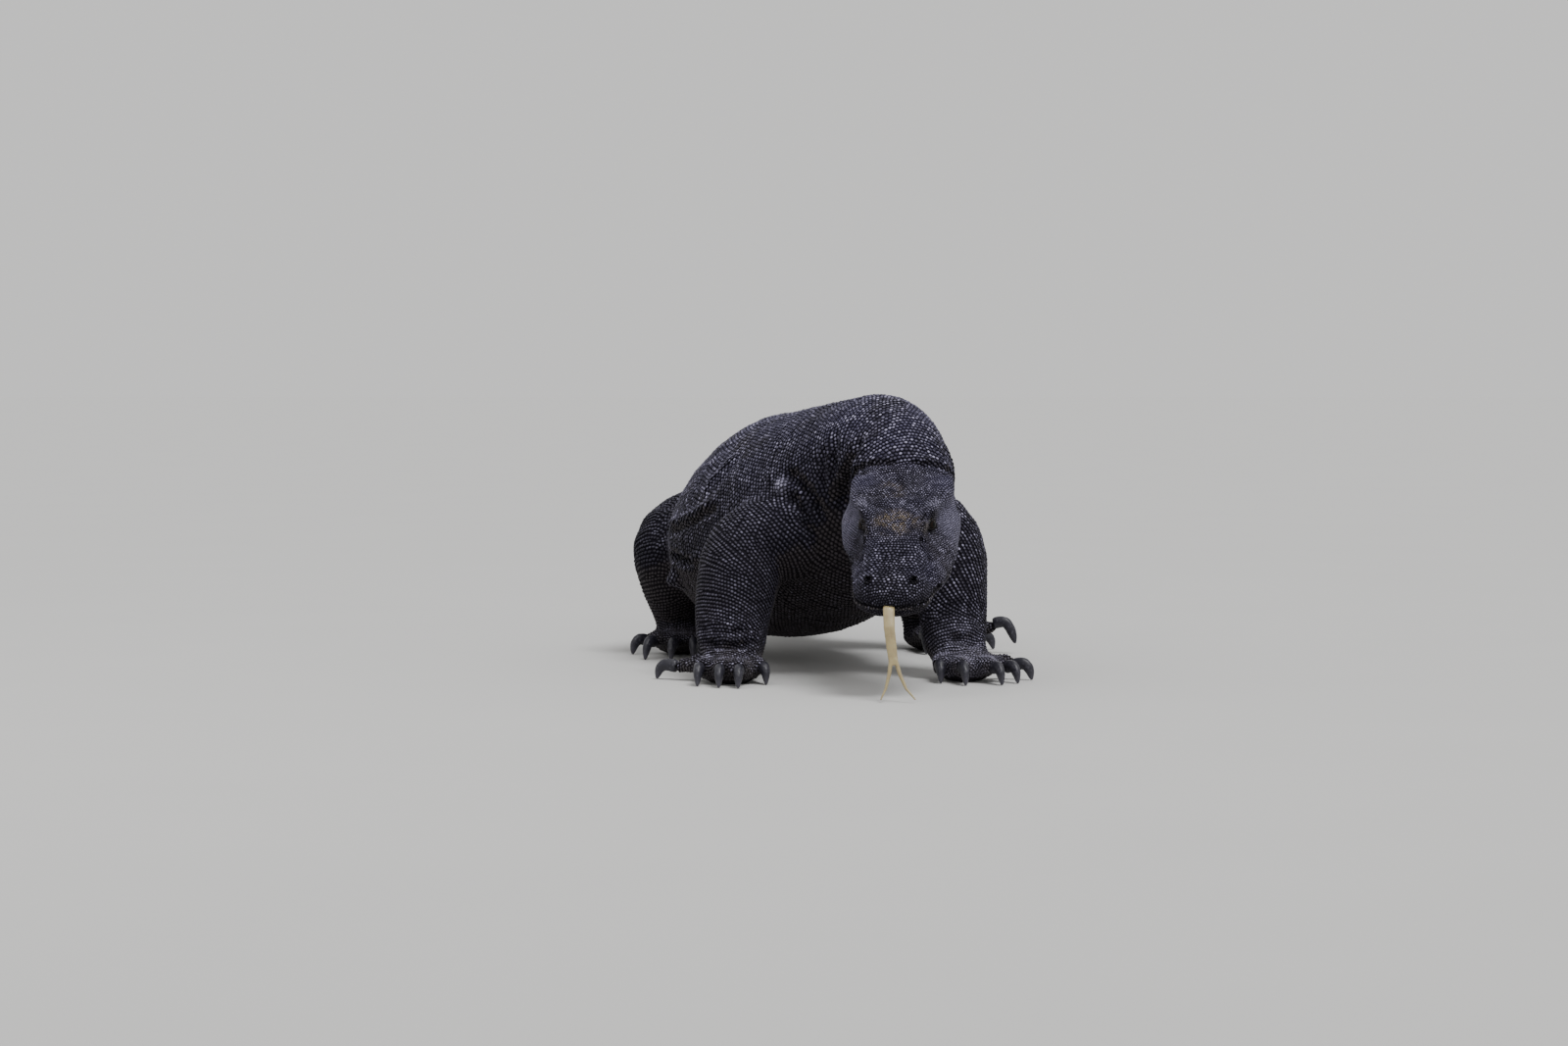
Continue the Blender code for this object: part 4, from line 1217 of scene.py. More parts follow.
    def shape_head(self) -> None:
        """Folds, pits, swellings and lids of the head."""
        tree, normals = self.data.tree(), self.data.normals()
        for swell in HEAD_SWELLS:
            for side in swell.sides:
                self.swell(swell, PLACES.head(swell.at, side), normals)
        for fold in HEAD_FOLDS:
            for side in SIDES:
                self.press(fold, [PLACES.head(p, side) for p in fold.path], tree, normals)
        axes = np.array([PLACES.forward, PLACES.leftward, PLACES.above])
        for pit in HEAD_PITS:
            for side in pit.sides:
                away = PLACES.in_head(self.data.points) - np.array(pit.at) * np.array([1, side, 1])
                far = np.linalg.norm(away / np.array(pit.radii), axis=1)
                move = -pit.depth * (1 - step_between(far, 0.35, 1.0))
                move += pit.rim * bell(far - 1.25, 0.30)
                self.data.points += normals * move[:, None]
        self.rim = np.zeros(len(self.data.points))
        self.hole = np.zeros(len(self.data.points), bool)
        for name, side in EYES.items():
            self.drape_lids(np.array(box_middle(name)), side, axes)

    def swell(self, swell: Swell, at: Vector, normals: np.ndarray) -> None:
        """Raises the skin round a place."""
        far = distances(self.data.points, at) / swell.radius
        self.data.points += normals * (swell.height * np.exp(-far**2 * 1.6))[:, None]

    def drape_lids(self, eye: np.ndarray, side: int, axes: np.ndarray) -> None:
        """Lays the skin over an eye as two lids with an opening between them.

        Args:
            eye: The eye's middle.
            side: Its side of the head.
            axes: The directions of the head: ahead, left, up.
        """
        points = self.data.points
        away = points - eye
        far = np.linalg.norm(away, axis=1)
        near = np.flatnonzero(far < self.lid_reach)
        local = unit(away[near]) @ axes.T * np.array([1, side, 1])
        look = unit(np.array(EYE_LOOKS[side]))
        along = unit(np.array([1.0, 0.0, 0.0]) - look * look[0])
        outside = local @ look > 0.12
        slant = local @ np.cross(along, look) * -1 + 0.18 * (local @ along)
        oval = np.hypot(local @ along * self.eye_radius / self.opening[0],
                        slant * self.eye_radius / self.opening[1])
        inside = oval < 1
        sunk = self.grow + self.coat
        radius = self.eye_radius + sunk + self.lid_clearance + self.lid * bell(oval - 1.25, 0.22)
        radius -= self.lid_fold * bell(oval - 1.75, 0.20)
        radius = np.where(inside, self.eye_radius - self.behind_opening, radius)
        blend = 1 - step_between(far[near], *self.lid_fade)
        blend = np.where(inside, 1.0, blend * outside)
        target = eye + unit(away[near]) * radius[:, None]
        points[near] += (target - points[near]) * blend[:, None]
        self.rim[near] = np.maximum(self.rim[near], bell(oval - 1.3, 0.25) * outside)
        self.hole[near] |= inside & outside

    def part_lips(self) -> None:
        """Presses in the line of the mouth, under an upper lip that overhangs it."""
        data, normals = self.data, self.data.normals()
        above = PLACES.above_mouth(data.points)
        ahead = PLACES.in_head(data.points)[:, 0]
        self.above_lip = np.where(np.abs(above) < 1, above, 1.0)
        self.lip_share = step_between(ahead, MOUTH_CORNER[0] - 0.002, MOUTH_CORNER[0] + 0.008)
        self.lip_share *= 0.55 + 0.45 * step_between(ahead, 0.140, 0.175)
        move = sum(height * bell(self.above_lip - at, width) for at, width, height in LIPS)
        data.points += normals * (move * self.lip_share)[:, None]

    def mark(self) -> None:
        """Notes the hollows for painted shade, the lips, the upward-facing tops for dust and painted
        skylight, and the painted shade of the nodes, as numbers at each point.
        """
        data = self.data
        normals = data.normals()
        smooth = data.points
        hollow = np.zeros(len(data.points))
        on_head = self.of_nodes("head", "lower_jaw")
        for passes, ease in ((3, 1.0), (5, 1.6)):
            for _ in range(passes):
                smooth = data.spread(smooth)
            hollow = np.maximum(hollow, ((smooth - data.points) * normals).sum(1) / ease)
        depth = hollow / np.where(on_head, self.head_hollow, self.body_hollow)
        # hollows are painted dark by their depth: painted shade in the creases
        furrow = step_between(depth, 0.30, 1.2) * np.where(on_head, 0.65, 0.42)
        slit = bell(self.above_lip - SLIT, SLIT_WIDTH) * self.lip_share
        lower_lip = bell(self.above_lip + 0.0038, 0.0020) * self.lip_share * 0.36
        self.marks = {
            # crease: painted shade in hollows, in the slit of the mouth and in the eye openings
            "crease": np.maximum(np.maximum(furrow, slit), self.hole),
            "lip": np.maximum(lower_lip, self.rim * 0.55),
            # upward-facing skin: dust, and the painted skylight of the tops
            "dust": step_between(normals[:, 2], -0.35, 0.75),
            # painted shade of the nodes that lie in shade and of the dark pockets
            "shade": self.shades(),
        }
        for name, values in self.marks.items():
            self.obj.data.attributes.new(name, "FLOAT", "POINT").data.foreach_set("value", values)

    def shades(self) -> np.ndarray:
        """How much painted shade darkens the hide at each point, softly from node to node, with the dark
        pockets of the body.

        Returns:
            The shares of the dark colour.
        """
        dark = np.zeros((len(self.node), 1))
        for index, name in enumerate(self.names):
            dark[self.node == index] = SHADE.get(name, SHADE[kind_of(name)])
        for _ in range(30):
            dark = self.data.spread(dark)
        dark = dark[:, 0]
        for at, radius, share in BODY_PAINTED_SHADE:
            far = distances(self.data.points, PLACES.plan(at))
            dark = np.maximum(dark, share * (1 - step_between(far, radius * 0.3, radius)))
        return dark

    def shape_body(self) -> None:
        """Folds and swellings of the rest of the body."""
        tree, normals = self.data.tree(), self.data.normals()
        for swell in BODY_SWELLS:
            self.swell(swell, PLACES.plan(swell.at), normals)
        for fold in BODY_FOLDS:
            self.press(fold, [PLACES.plan(p) for p in fold.path], tree, normals)

    def ripple(self, body: Body) -> None:
        """Adds the slack rings, which follow the middle lines of the body.

        Args:
            body: The middle lines of the body.
        """
        normals = self.data.normals()
        move = np.zeros((len(self.data.points), 1))
        for wrinkle in WRINKLES:
            for name in self.names:
                if kind_of(name) not in wrinkle.kinds:
                    continue
                chosen = np.flatnonzero(self.of_nodes(name))
                points = self.data.points[chosen]
                run, angle, _ = body.lines[body.line_of[name]].read(points)
                waver = 0.35 * np.sin(angle * 2 + run * 21) + 0.25 * np.sin(angle * 5 + 1.7 + run * 34)
                phase = run / wrinkle.spacing + waver
                strength = 0.55 + 0.45 * np.sin(angle * 3 + run * 17)
                crease = np.abs(np.sin(phase * math.pi)) ** 0.7 - 0.6
                move[chosen, 0] = crease * wrinkle.depth * strength
        for _ in range(2):
            move = self.data.spread(move)
        self.data.points += normals * move

    def set_in(self) -> None:
        """Draws the skin in by the depth of the coat, except where the feet meet the floor."""
        normals = self.data.normals()
        depth = (self.grow + self.coat) * step_between(self.data.points[:, 2], 0.0, 0.010)
        self.data.points -= normals * depth[:, None]
        self.data.points[:, 2] = np.maximum(self.data.points[:, 2], 0.0)


# ---------------------------------------------------------------- scales


@dataclass(frozen=True)
class Bead:
    """The shape of one scale: a low dome on a ring of six, closed below."""

    sides: int = 6
    shoulder: float = 0.80  # width of the shoulder, as a share of the foot
    shoulder_height: float = 0.66
    sunk: float = 0.24  # how far the foot reaches into the skin

    def template(self) -> bpy.types.Mesh:
        """One scale, of radius 1 and height 1, with a corner ahead of its middle.

        Returns:
            The mesh.
        """
        made = bmesh.new()
        bmesh.ops.create_circle(made, cap_ends=True, segments=self.sides, radius=1.0)
        bmesh.ops.rotate(made, verts=made.verts, matrix=Matrix.Rotation(math.pi / 2, 3, "Z"))
        foot = made.faces[:]
        bmesh.ops.recalc_face_normals(made, faces=foot)
        raised = bmesh.ops.extrude_face_region(made, geom=foot, use_keep_orig=True)
        crown = [item for item in raised["geom"] if isinstance(item, bmesh.types.BMVert)]
        bmesh.ops.scale(made, vec=(self.shoulder, self.shoulder, 1), verts=crown)
        bmesh.ops.translate(made, vec=(0, 0, self.shoulder_height + self.sunk), verts=crown)
        top = [item for item in raised["geom"] if isinstance(item, bmesh.types.BMFace)]
        poked = bmesh.ops.poke(made, faces=top)
        bmesh.ops.translate(made, vec=(0, 0, 1 - self.shoulder_height), verts=poked["verts"])
        bmesh.ops.translate(made, vec=(0, 0, -self.sunk), verts=made.verts)
        bmesh.ops.recalc_face_normals(made, faces=made.faces)
        return mesh_from(made, "bead")


# Distance between scales on each node
PITCH = {
    "head": 0.0034, "lower_jaw": 0.0037, "neck": 0.0053, "chest": 0.0057, "belly": 0.0055, "hips": 0.0058,
    "upper_arm": 0.0055, "forearm": 0.0050, "hand": 0.0042, "thigh": 0.0058, "shank": 0.0052, "foot": 0.0045,
    "tail_1": 0.0062, "tail_2": 0.0062, "tail_3": 0.0058, "tail_4": 0.0050, "tail_5": 0.0044,
}
DIGIT_PITCH = 0.0038
DIGIT_REACH = 0.017
# Turns of the rows about the skin's outward direction
TILT = {
    "right_upper_arm": -0.25, "right_forearm": -0.36, "right_hand": -0.36,
    "left_upper_arm": -0.70, "left_forearm": -1.15,
}
# How much of its row's depth a scale fills, where it is not the usual share
FILL = {"upper_arm": 0.72, "forearm": 0.72, "thigh": 0.74, "shank": 0.74, "hand": 0.78}
USUAL_FILL = 0.82
# Where the head's scales are larger or smaller: place in the head, radius, pitch
HEAD_PITCHES = (
    ((0.175, 0.015, 0.025), 0.052, 0.0048),
    ((0.040, 0.074, 0.000), 0.044, 0.0029),
    ((0.096, 0.050, 0.034), 0.016, 0.0019),
    ((0.202, 0.030, 0.024), 0.010, 0.0029),
)
# Where a scale's neighbours go, along its row first and then in the next rows: ahead, across, cost
STEPS = ((0, 1, 0.004), (0, -1, 0.004), (1, 0.5, 1), (1, -0.5, 1), (-1, 0.5, 1), (-1, -0.5, 1))
# The waves, in radians to the metre, that make the body's scales larger and smaller from place to place
SWIRL = ((61.0, 38.0, -47.0), (-29.0, 53.0, 67.0))
# The directions in which a scale's reach is measured, one for each corner: ahead, across
TURNS = np.arange(6) * (math.pi / 3)
CORNERS = np.stack([np.cos(TURNS), np.sin(TURNS)], axis=1)


@dataclass
class Coat:
    """The scales, grown row by row over the skin."""

    skin: Skin
    body: Body
    spacing: float = 0.80  # closest that two scales come, as a share of the pitch
    row_gap: float = 1.10  # between rows, in pitches
    head_row_gap: float = 0.94
    stray: float = 0.04  # how far a scale strays from its row, in pitches
    head_stray: float = 0.08
    widest: float = 0.72  # how far a scale reaches at most, in pitches
    rise: float = 0.36  # how high a scale stands, in pitches
    head_rise: float = 0.30
    head_fill: float = 0.84  # how much of their room the head's scales fill, along it and across it
    head_width: float = 0.87
    lowest: float = 0.0005  # above the floor
    cell: float = 0.0060  # of the grid that finds scales close by
    sole: float = 0.0035  # nothing grows lower than this
    sole_edge: float = 0.008  # nor lower than this where the skin faces down
    nostril: tuple = (0.2025, 0.030, 0.0235)  # in the head
    nostril_radius: float = 0.0032
    neighbours: int = 9
    evenings: int = 2  # rounds of evening out
    seed: int = 7

    def fields(self) -> None:
        """Works out the lie and the pitch of the scales at each point of the skin."""
        data, skin = self.skin.data, self.skin
        points = data.points
        size = len(points)
        self.run, self.angle = np.zeros(size), np.zeros(size)
        self.lie, self.pitch = np.zeros((size, 3)), np.zeros((size, 1))
        self.digit, self.fill = np.full(size, -1), np.full(size, USUAL_FILL)
        turn = np.zeros((size, 1))
        for index, name in enumerate(skin.names):
            chosen = np.flatnonzero(skin.node == index)
            line = self.body.lines[self.body.line_of[name]]
            self.run[chosen], self.angle[chosen], self.lie[chosen] = line.read(points[chosen])
            self.run[chosen] /= line.length
            kind = name if name in PITCH else kind_of(name)
            self.pitch[chosen] = PITCH[kind]
            turn[chosen] = TILT.get(name, 0.0)
            self.fill[chosen] = FILL.get(kind_of(name), USUAL_FILL)
            if kind in ("hand", "foot"):
                self.follow_digits(self.body.line_of[name], chosen)
        self.on_head = skin.of_nodes("head", "lower_jaw")
        ahead, aside, above = PLACES.in_head(points).T
        self.on_head |= (ahead > -0.026 - 4.0 * aside**2) & (above > -0.02) & (np.abs(aside) < 0.085)
        self.pitch[self.on_head & skin.of_nodes("neck")] = PITCH["head"]
        for at, radius, pitch in HEAD_PITCHES:
            for side in SIDES:
                far = distances(points, PLACES.head(at, side))
                near = (1 - step_between(far, radius * 0.5, radius))[:, None] * self.on_head[:, None]
                self.pitch += (pitch - self.pitch) * near
        normals = data.normals()
        for step in range(36):
            self.lie = flattened(self.lie, normals)
            self.lie = unit(unit(self.lie) + data.spread(unit(self.lie)))
            if step < 5:
                self.pitch = self.pitch * 0.5 + data.spread(self.pitch) * 0.5
            if step < 16:
                turn = data.spread(turn)
        swirl = np.prod([np.sin(points @ np.array(waves)) for waves in SWIRL], axis=0)
        body_pitch = self.pitch * (1 + 0.11 * swirl[:, None])
        for _ in range(12):
            body_pitch = data.spread(body_pitch)
        self.pitch = np.where(self.on_head[:, None], self.pitch, body_pitch)
        self.lie = unit(flattened(self.lie, normals))
        self.lie = self.lie * np.cos(turn) + np.cross(normals, self.lie) * np.sin(turn)
        self.normals = normals

    def follow_digits(self, leg: str, chosen: np.ndarray) -> None:
        """Lays the scales of a hand or foot along its nearest digits.

        Args:
            leg: The leg's line.
            chosen: The numbers of the points of its hand or foot.
        """
        points = self.skin.data.points[chosen]
        best = np.full(len(chosen), DIGIT_REACH)
        for number in range(5):
            line = self.body.lines[f"{leg}_digit_{number}"]
            far, _, _ = nearest_on_path(points, line.path)
            closer = far < best
            best[closer] = far[closer]
            mine = chosen[closer]
            self.run[mine], self.angle[mine], self.lie[mine] = line.read(points[closer])
            self.run[mine] /= line.length
            self.digit[mine] = number
            self.pitch[mine] = DIGIT_PITCH

    def barred(self, at: Vector, normal: Vector, vert: int) -> bool:
        """Whether a place has no scales: soles, eyes, nostrils and the slit of the mouth.

        Args:
            at: The place.
            normal: The outward direction there.
            vert: The number of the skin's point there.

        Returns:
            True where no scale may stand.
        """
        if at.z < self.sole or (at.z < self.sole_edge and normal.z < -0.6) or self.skin.hole[vert]:
            return True
        if any((at - hole).length < self.nostril_radius for hole in self.nostrils):
            return True
        return abs(float(self.skin.above_lip[vert]) - SLIT) < 0.0004 and self.skin.lip_share[vert] > 0.4

    def grow(self) -> list[tuple]:
        """Sets the roots of the scales, each beside the one that it grew from.

        Returns:
            The place of each root.
        """
        self.nostrils = [PLACES.head(self.nostril, side) for side in SIDES]
        normals = [Vector(n) for n in self.normals]
        lies = [Vector(v) for v in self.lie]
        pitches = [float(p) for p in self.pitch[:, 0]]
        cells = defaultdict(list)
        dice = np.random.default_rng(self.seed)
        roots: list = []
        heap: list = []
        size = self.cell

        def crowded(at: Vector, limit: float) -> bool:
            """Whether a scale stands closer than the limit.

            Args:
                at: The place.
                limit: The distance.

            Returns:
                True if one does.
            """
            x, y, z = at
            square = limit * limit
            for i in range(int((x - limit) // size), int((x + limit) // size) + 1):
                for j in range(int((y - limit) // size), int((y + limit) // size) + 1):
                    for k in range(int((z - limit) // size), int((z + limit) // size) + 1):
                        for px, py, pz in cells.get((i, j, k), ()):
                            if (px - x) ** 2 + (py - y) ** 2 + (pz - z) ** 2 < square:
                                return True
            return False

        def place(at: Vector, cost: float) -> None:
            """Sets a scale at the skin nearest to a place, if there is room, and lists its neighbours.

            Args:
                at: The place.
                cost: How far the scale is from its seed, in steps.
            """
            spot, _, face, _ = self.tree.find_nearest(at)
            vert = self.corner[face]
            pitch, normal = pitches[vert], normals[vert]
            if crowded(spot, pitch * self.spacing) or self.barred(spot, normal, vert):
                return
            cells[(int(spot.x // size), int(spot.y // size), int(spot.z // size))].append(tuple(spot))
            across = normal.cross(lies[vert]).normalized()
            ahead = across.cross(normal)
            roots.append(tuple(spot))
            on_head = self.on_head[vert]
            gap = self.head_row_gap if on_head else self.row_gap
            strays = dice.normal(0, (self.head_stray if on_head else self.stray) * pitch, (len(STEPS), 2))
            for (forward, sideways, extra), (slip, drift) in zip(STEPS, strays):
                target = spot + ahead * (forward * pitch * gap + slip) + across * (sideways * pitch + drift)
                if not crowded(target, pitch * self.spacing * 0.8):
                    heapq.heappush(heap, (cost + extra, len(roots), tuple(target)))

        for seed in (PLACES.head((0.10, 0, 0.05)), *map(Vector, self.skin.data.points[::3])):
            place(seed, 0.0)
            while heap:
                cost, _, at = heapq.heappop(heap)
                place(Vector(at), cost)
        LOG.info("scales: %d", len(roots))
        return roots

    def settle(self, roots: list[tuple]) -> None:
        """Evens out the scales and finds how far each reaches towards its neighbours.

        Args:
            roots: The places of the roots.
        """
        for turn in range(self.evenings + 1):
            found = [self.tree.find_nearest(at) for at in roots]
            self.root = np.array([tuple(spot) for spot, _, _, _ in found])
            self.vert = np.array([self.corner[face] for _, _, face, _ in found])
            self.normal = self.normals[self.vert]
            self.across = unit(np.cross(self.normal, self.lie[self.vert]))
            self.ahead = np.cross(self.across, self.normal)
            tree = KDTree(len(roots))
            for index, at in enumerate(roots):
                tree.insert(at, index)
            tree.balance()
            near = np.array([[item[1] for item in tree.find_n(at, self.neighbours)][1:] for at in roots])
            away = self.root[near] - self.root[:, None, :]
            flat = np.stack([(away * way[:, None]).sum(2) for way in (self.ahead, self.across)], axis=2)
            facing = np.einsum("nkd,td->ntk", flat, CORNERS)
            half = (away**2).sum(2)[:, None, :] / 2 / np.maximum(facing, 1e-7)
            self.reach = np.minimum(half.min(axis=2), self.pitch[self.vert] * self.widest)
            if turn < self.evenings:
                shift = (self.reach[:, :, None] * CORNERS).mean(axis=1)
                moved = self.root + self.ahead * shift[:, :1] * 0.5 + self.across * shift[:, 1:] * 0.5
                roots = [tuple(at) for at in moved]

    def build(self) -> None:
        """Grows the scales and joins them into pieces."""
        self.fields()
        self.tree = self.skin.data.tree()
        self.corner = [face.vertices[0] for face in self.skin.data.mesh.polygons]
        self.settle(self.grow())
        material = HideFinish().scales()
        template = Bead().template()
        skin, tails = self.skin, tail_nodes()
        groups = {"scales_head": ("head",), "scales_jaw": ("lower_jaw",)}
        groups.update({f"scales_{name}": (name,) for name in TRUNK_NODES})
        groups.update(scales_tail_root=tuple(tails[:2]), scales_tail_end=tuple(tails[2:]))
        groups.update({f"scales_{leg.name.lower()}": tuple(leg.nodes) for leg in Leg})
        for name, nodes in groups.items():
            chosen = np.flatnonzero(skin.of_nodes(*nodes)[self.vert])
            obj = self.piece(name, chosen, template)
            obj.data.materials.append(material)
            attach(obj, "root")
            LOG.info("%s: %d scales", name, len(chosen))
        bpy.data.meshes.remove(template)

    def piece(self, name: str, chosen: np.ndarray, template: bpy.types.Mesh) -> bpy.types.Object:
        """Joins the chosen scales into one mesh.

        Args:
            name: The piece's name.
            chosen: The numbers of the roots.
            template: The shape of one scale.

        Returns:
            The piece, with its OFBake map, its crest and tone and the marks of the skin.
        """
        shape = corners_of(template)
        loops = np.array([loop.vertex_index for loop in template.loops])
        starts = np.array([face.loop_start for face in template.polygons])
        dice = np.random.default_rng(self.seed)
        verts, count = self.vert[chosen], len(chosen)
        turn = np.rint(np.arctan2(shape[:, 1], shape[:, 0]) / (math.pi / 3)).astype(int) % 6
        reach = self.reach[chosen][:, turn]
        flat = self.on_head[verts][:, None]
        fill = np.where(flat, self.head_fill, self.fill[verts][:, None])
        # scales in painted shade vary less in tone
        spread = np.clip(1 - 1.25 * self.skin.marks["shade"][verts], 0.1, 1)
        tone = 0.5 + (dice.random(count) - 0.5) * spread * np.where(self.on_head[verts], 0.62, 1.0)
        jitter = 1 + dice.normal(0, 0.03, (count, 1))
        rise = np.where(flat, self.head_rise, self.rise)
        height = rise * self.pitch[verts] * (1 + dice.normal(0, 0.16, (count, 1)))
        long = shape[None, :, 0] * reach * fill * jitter
        wide = shape[None, :, 1] * reach * np.where(flat, self.head_width, 1.52 - 0.66 * fill) * jitter
        points = (
            self.root[chosen][:, None, :]
            + self.ahead[chosen][:, None, :] * long[:, :, None]
            + self.across[chosen][:, None, :] * wide[:, :, None]
            + self.normal[chosen][:, None, :] * (shape[None, :, 2] * height)[:, :, None]
        )
        points[..., 2] = np.maximum(points[..., 2], self.lowest)
        stride = len(shape)
        shift = np.arange(count)[:, None]
        mesh = bpy.data.meshes.new(name)
        mesh.vertices.add(count * stride)
        mesh.vertices.foreach_set("co", points.ravel())
        mesh.loops.add(count * len(loops))
        mesh.loops.foreach_set("vertex_index", (shift * stride + loops[None]).ravel())
        mesh.polygons.add(count * len(starts))
        mesh.polygons.foreach_set("loop_start", (shift * len(loops) + starts[None]).ravel())
        mesh.update(calc_edges=True)
        mesh.shade_smooth()
        numbers = {"crest": np.tile(np.clip(shape[:, 2], 0, 1), count), "tone": np.repeat(tone, stride)}
        numbers.update({mark: np.repeat(values[verts], stride) for mark, values in self.skin.marks.items()})
        for mark, values in numbers.items():
            mesh.attributes.new(mark, "FLOAT", "POINT").data.foreach_set("value", values)
        self.unwrap(mesh, verts, shape, loops)
        return add_object(name, mesh)

    def unwrap(self, mesh: bpy.types.Mesh, verts: np.ndarray, shape: np.ndarray, loops: np.ndarray) -> None:
        """Lays each scale as a small patch at its root's place on the opened skin.

        Args:
            mesh: The joined scales.
            verts: The number of the skin's point under each scale.
            shape: The points of one scale.
            loops: The point at each corner of its faces.
        """
        along, round_it = self.run[verts].copy(), self.angle[verts] / (2 * math.pi) + 0.5
        spread = along.max() - along.min()
        along = (along - along.min()) / max(spread, 1e-6)
        digit = self.digit[verts]
        if (digit >= 0).any():
            along *= 0.6
            toes = digit >= 0
            along[toes] = 0.62 + 0.38 * self.run[verts][toes]
            round_it[toes] = (digit[toes] + round_it[toes]) / 5
        centre = 0.01 + 0.98 * np.stack([along, round_it], axis=1)
        patch = shape[:, :2] * 0.0015
        layer = mesh.uv_layers.new(name="OFBake")
        layer.data.foreach_set("uv", (centre[:, None, :] + patch[None, loops, :]).ravel().astype(np.float32))


# ---------------------------------------------------------------- eyes, claws and tongue


@dataclass
class Eyes:
    """Two glossy eyeballs behind the lids."""

    segments: int = 40
    rings: int = 24
    bulge: float = 0.0006  # of the cornea
    share: float = 0.97  # of the node's size

    def build(self) -> None:
        """Makes both eyes."""
        for name, side in EYES.items():
            low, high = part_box(name)
            middle = box_middle(name)
            radius = (high[2] - low[2]) / 2 * self.share
            look = (PLACES.head(EYE_LOOKS[side], side) - PLACES.skull).normalized()
            turn = Vector((0, 0, 1)).rotation_difference(look).to_matrix().to_4x4()
            made = bmesh.new()
            bmesh.ops.create_uvsphere(
                made, u_segments=self.segments, v_segments=self.rings, radius=radius,
                matrix=Matrix.Translation(middle) @ turn,
            )
            for vert in made.verts:
                ahead = (vert.co - middle).normalized().dot(look)
                vert.co += look * self.bulge * max(0.0, (ahead - 0.75) / 0.25)
            mesh = mesh_from(made, "eyeball_" + name)
            mesh.shade_smooth()
            front = middle + look * radius
            mesh.materials.append(EyeFinish().material(name + "_wet", front))
            obj = add_object("eyeball_" + name, mesh)
            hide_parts(name)
            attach(obj, "root")
        LOG.info("eyes: 2")


@dataclass
class Claws:
    """The twenty hooked claws."""

    levels: int = 2
    swell: float = 0.0013  # makes up for what rounding takes off

    def build(self) -> None:
        """Makes each claw as a rounded copy of its node."""
        material = ClawFinish().material()
        for leg in Leg:
            for name in leg.claws:
                made = bmesh.new()
                merged_copy(made, name)
                for vert in made.verts:
                    vert.co += vert.normal * self.swell
                    vert.co.z = max(vert.co.z, 0.0)
                mesh = mesh_from(made, "horn_" + name)
                mesh.materials.append(material)
                obj = add_object("horn_" + name, mesh)
                round_off = obj.modifiers.new("round", "SUBSURF")
                round_off.levels = round_off.render_levels = self.levels
                apply_modifiers(obj)
                obj.data.shade_smooth()
                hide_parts(name)
                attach(obj, "root")
        LOG.info("claws: 20")


@dataclass
class Tongue:
    """The long forked tongue, which hangs from the front of the mouth."""

    voxel: float = 0.0009
    passes: int = 8

    def build(self) -> None:
        """Makes the tongue as a smoothed copy of its node."""
        made = bmesh.new()
        merged_copy(made, "tongue")
        obj = add_object("tongue_flesh", mesh_from(made, "tongue_flesh"))
        fuse(obj, self.voxel)
        data = SkinMesh(obj.data)
        data.relax(self.passes)
        data.points[:, 2] = np.maximum(data.points[:, 2], 0.0004)
        data.write()
        obj.data.shade_smooth()
        obj.data.materials.append(TongueFinish().material())
        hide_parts("tongue")
        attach(obj, "root")
        LOG.info("tongue: %d faces", len(obj.data.polygons))


# ---------------------------------------------------------------- studio


@dataclass(frozen=True)
class Lamp:
    """A soft square lamp: its place and aim in the plan, its size and its power."""

    at: tuple
    aim: tuple
    size: float
    power: float
    colour: tuple = (1.0, 0.98, 0.95)


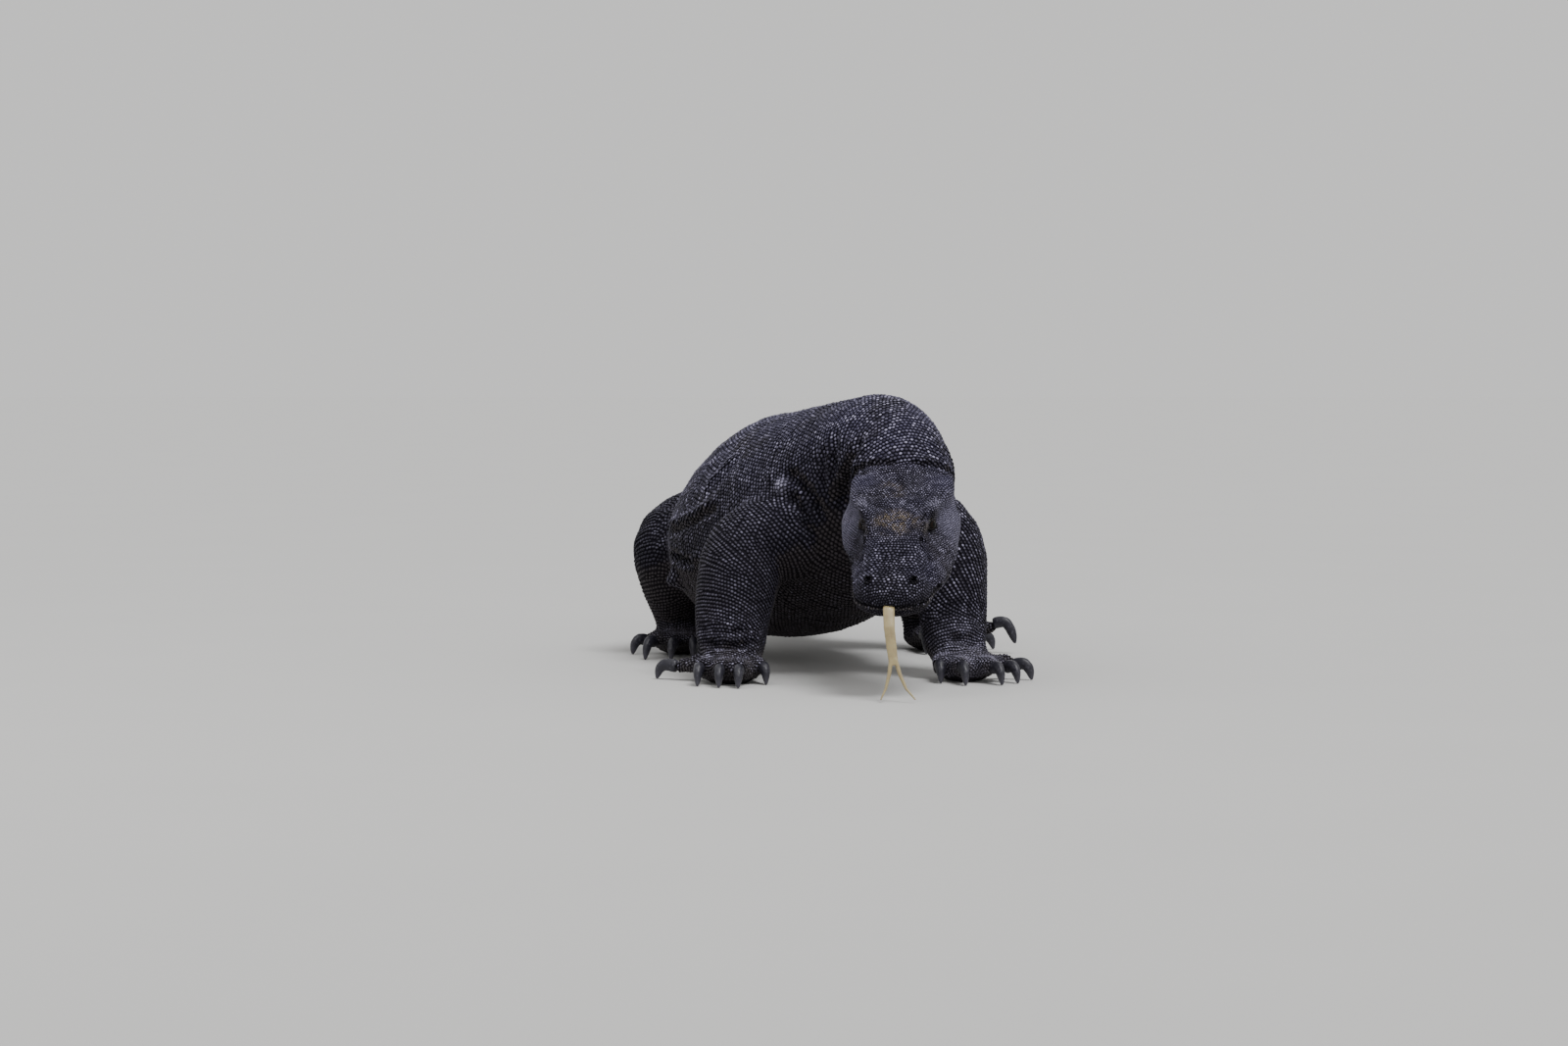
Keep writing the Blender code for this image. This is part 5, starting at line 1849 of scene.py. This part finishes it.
@dataclass
class Studio:
    """The pale floor, the soft lamps and the camera."""

    camera_at: tuple = (-0.10, -5.0, 0.449)
    camera_dip: float = math.radians(2.66)
    focal_length: float = 85.0
    floor_size: float = 60.0
    floor_colour: tuple = (0.478, 0.4765, 0.4715)
    sky: tuple = (0.99, 0.985, 0.975)
    sky_strength: float = 0.80
    sun_strength: float = 3.05
    sun_angle: float = math.radians(26)
    sun_from: tuple = (0.32, -0.42, 1.0)
    lamps: tuple = (Lamp((-1.4, -1.2, 2.6), (-0.05, 0.3, 0.1), 1.4, 14.0),)

    def build(self) -> None:
        """Sets the scene round the animal."""
        made = bmesh.new()
        bmesh.ops.create_grid(made, x_segments=2, y_segments=2, size=self.floor_size / 2)
        mesh = mesh_from(made, "floor")
        graph = Graph("floor_paint", roughness=0.85, specular=0.2)
        tint = tuple(c * 0.96 for c in self.floor_colour)
        mesh.materials.append(graph.finish(graph.mix(self.floor_colour, tint, graph.noise(3.0, 3.0))))
        add_object("floor", mesh)
        world = bpy.data.worlds.new("soft_sky")
        bpy.context.scene.world = world
        world.use_nodes = True
        sky = world.node_tree.nodes["Background"]
        sky.inputs["Color"].default_value = (*self.sky, 1)
        sky.inputs["Strength"].default_value = self.sky_strength
        for number, lamp in enumerate(self.lamps):
            light = bpy.data.lights.new(f"lamp_{number}", "AREA")
            light.size, light.energy, light.color = lamp.size, lamp.power, lamp.colour
            obj = add_object(f"lamp_{number}", light)
            at, aim = PLACES.plan(lamp.at), PLACES.plan(lamp.aim)
            turn = (at - aim).to_track_quat("Z", "Y").to_matrix().to_4x4()
            obj.matrix_world = Matrix.Translation(at) @ turn
        sun = bpy.data.lights.new("soft_sun", "SUN")
        sun.energy, sun.angle = self.sun_strength, self.sun_angle
        obj = add_object("soft_sun", sun)
        obj.rotation_euler = Vector(self.sun_from).to_track_quat("Z", "Y").to_euler()
        lens = bpy.data.cameras.new("camera")
        lens.lens, lens.sensor_width = self.focal_length, 36.0
        lens.clip_start, lens.clip_end = 0.05, 200.0
        camera = add_object("camera", lens)
        camera.location = PLACES.plan(self.camera_at)
        camera.rotation_euler = (math.pi / 2 - self.camera_dip, 0, 0)
        bpy.context.scene.camera = camera
        LOG.info("studio: %d lamps", len(self.lamps))


def main() -> None:
    """Builds every piece in order."""
    logging.basicConfig(level=logging.INFO, format="%(name)s %(message)s")
    Studio().build()
    body = Body()
    skin = Skin()
    skin.build(body)
    Coat(skin, body).build()
    Eyes().build()
    Claws().build()
    Tongue().build()


if __name__ == "__main__":
    main()
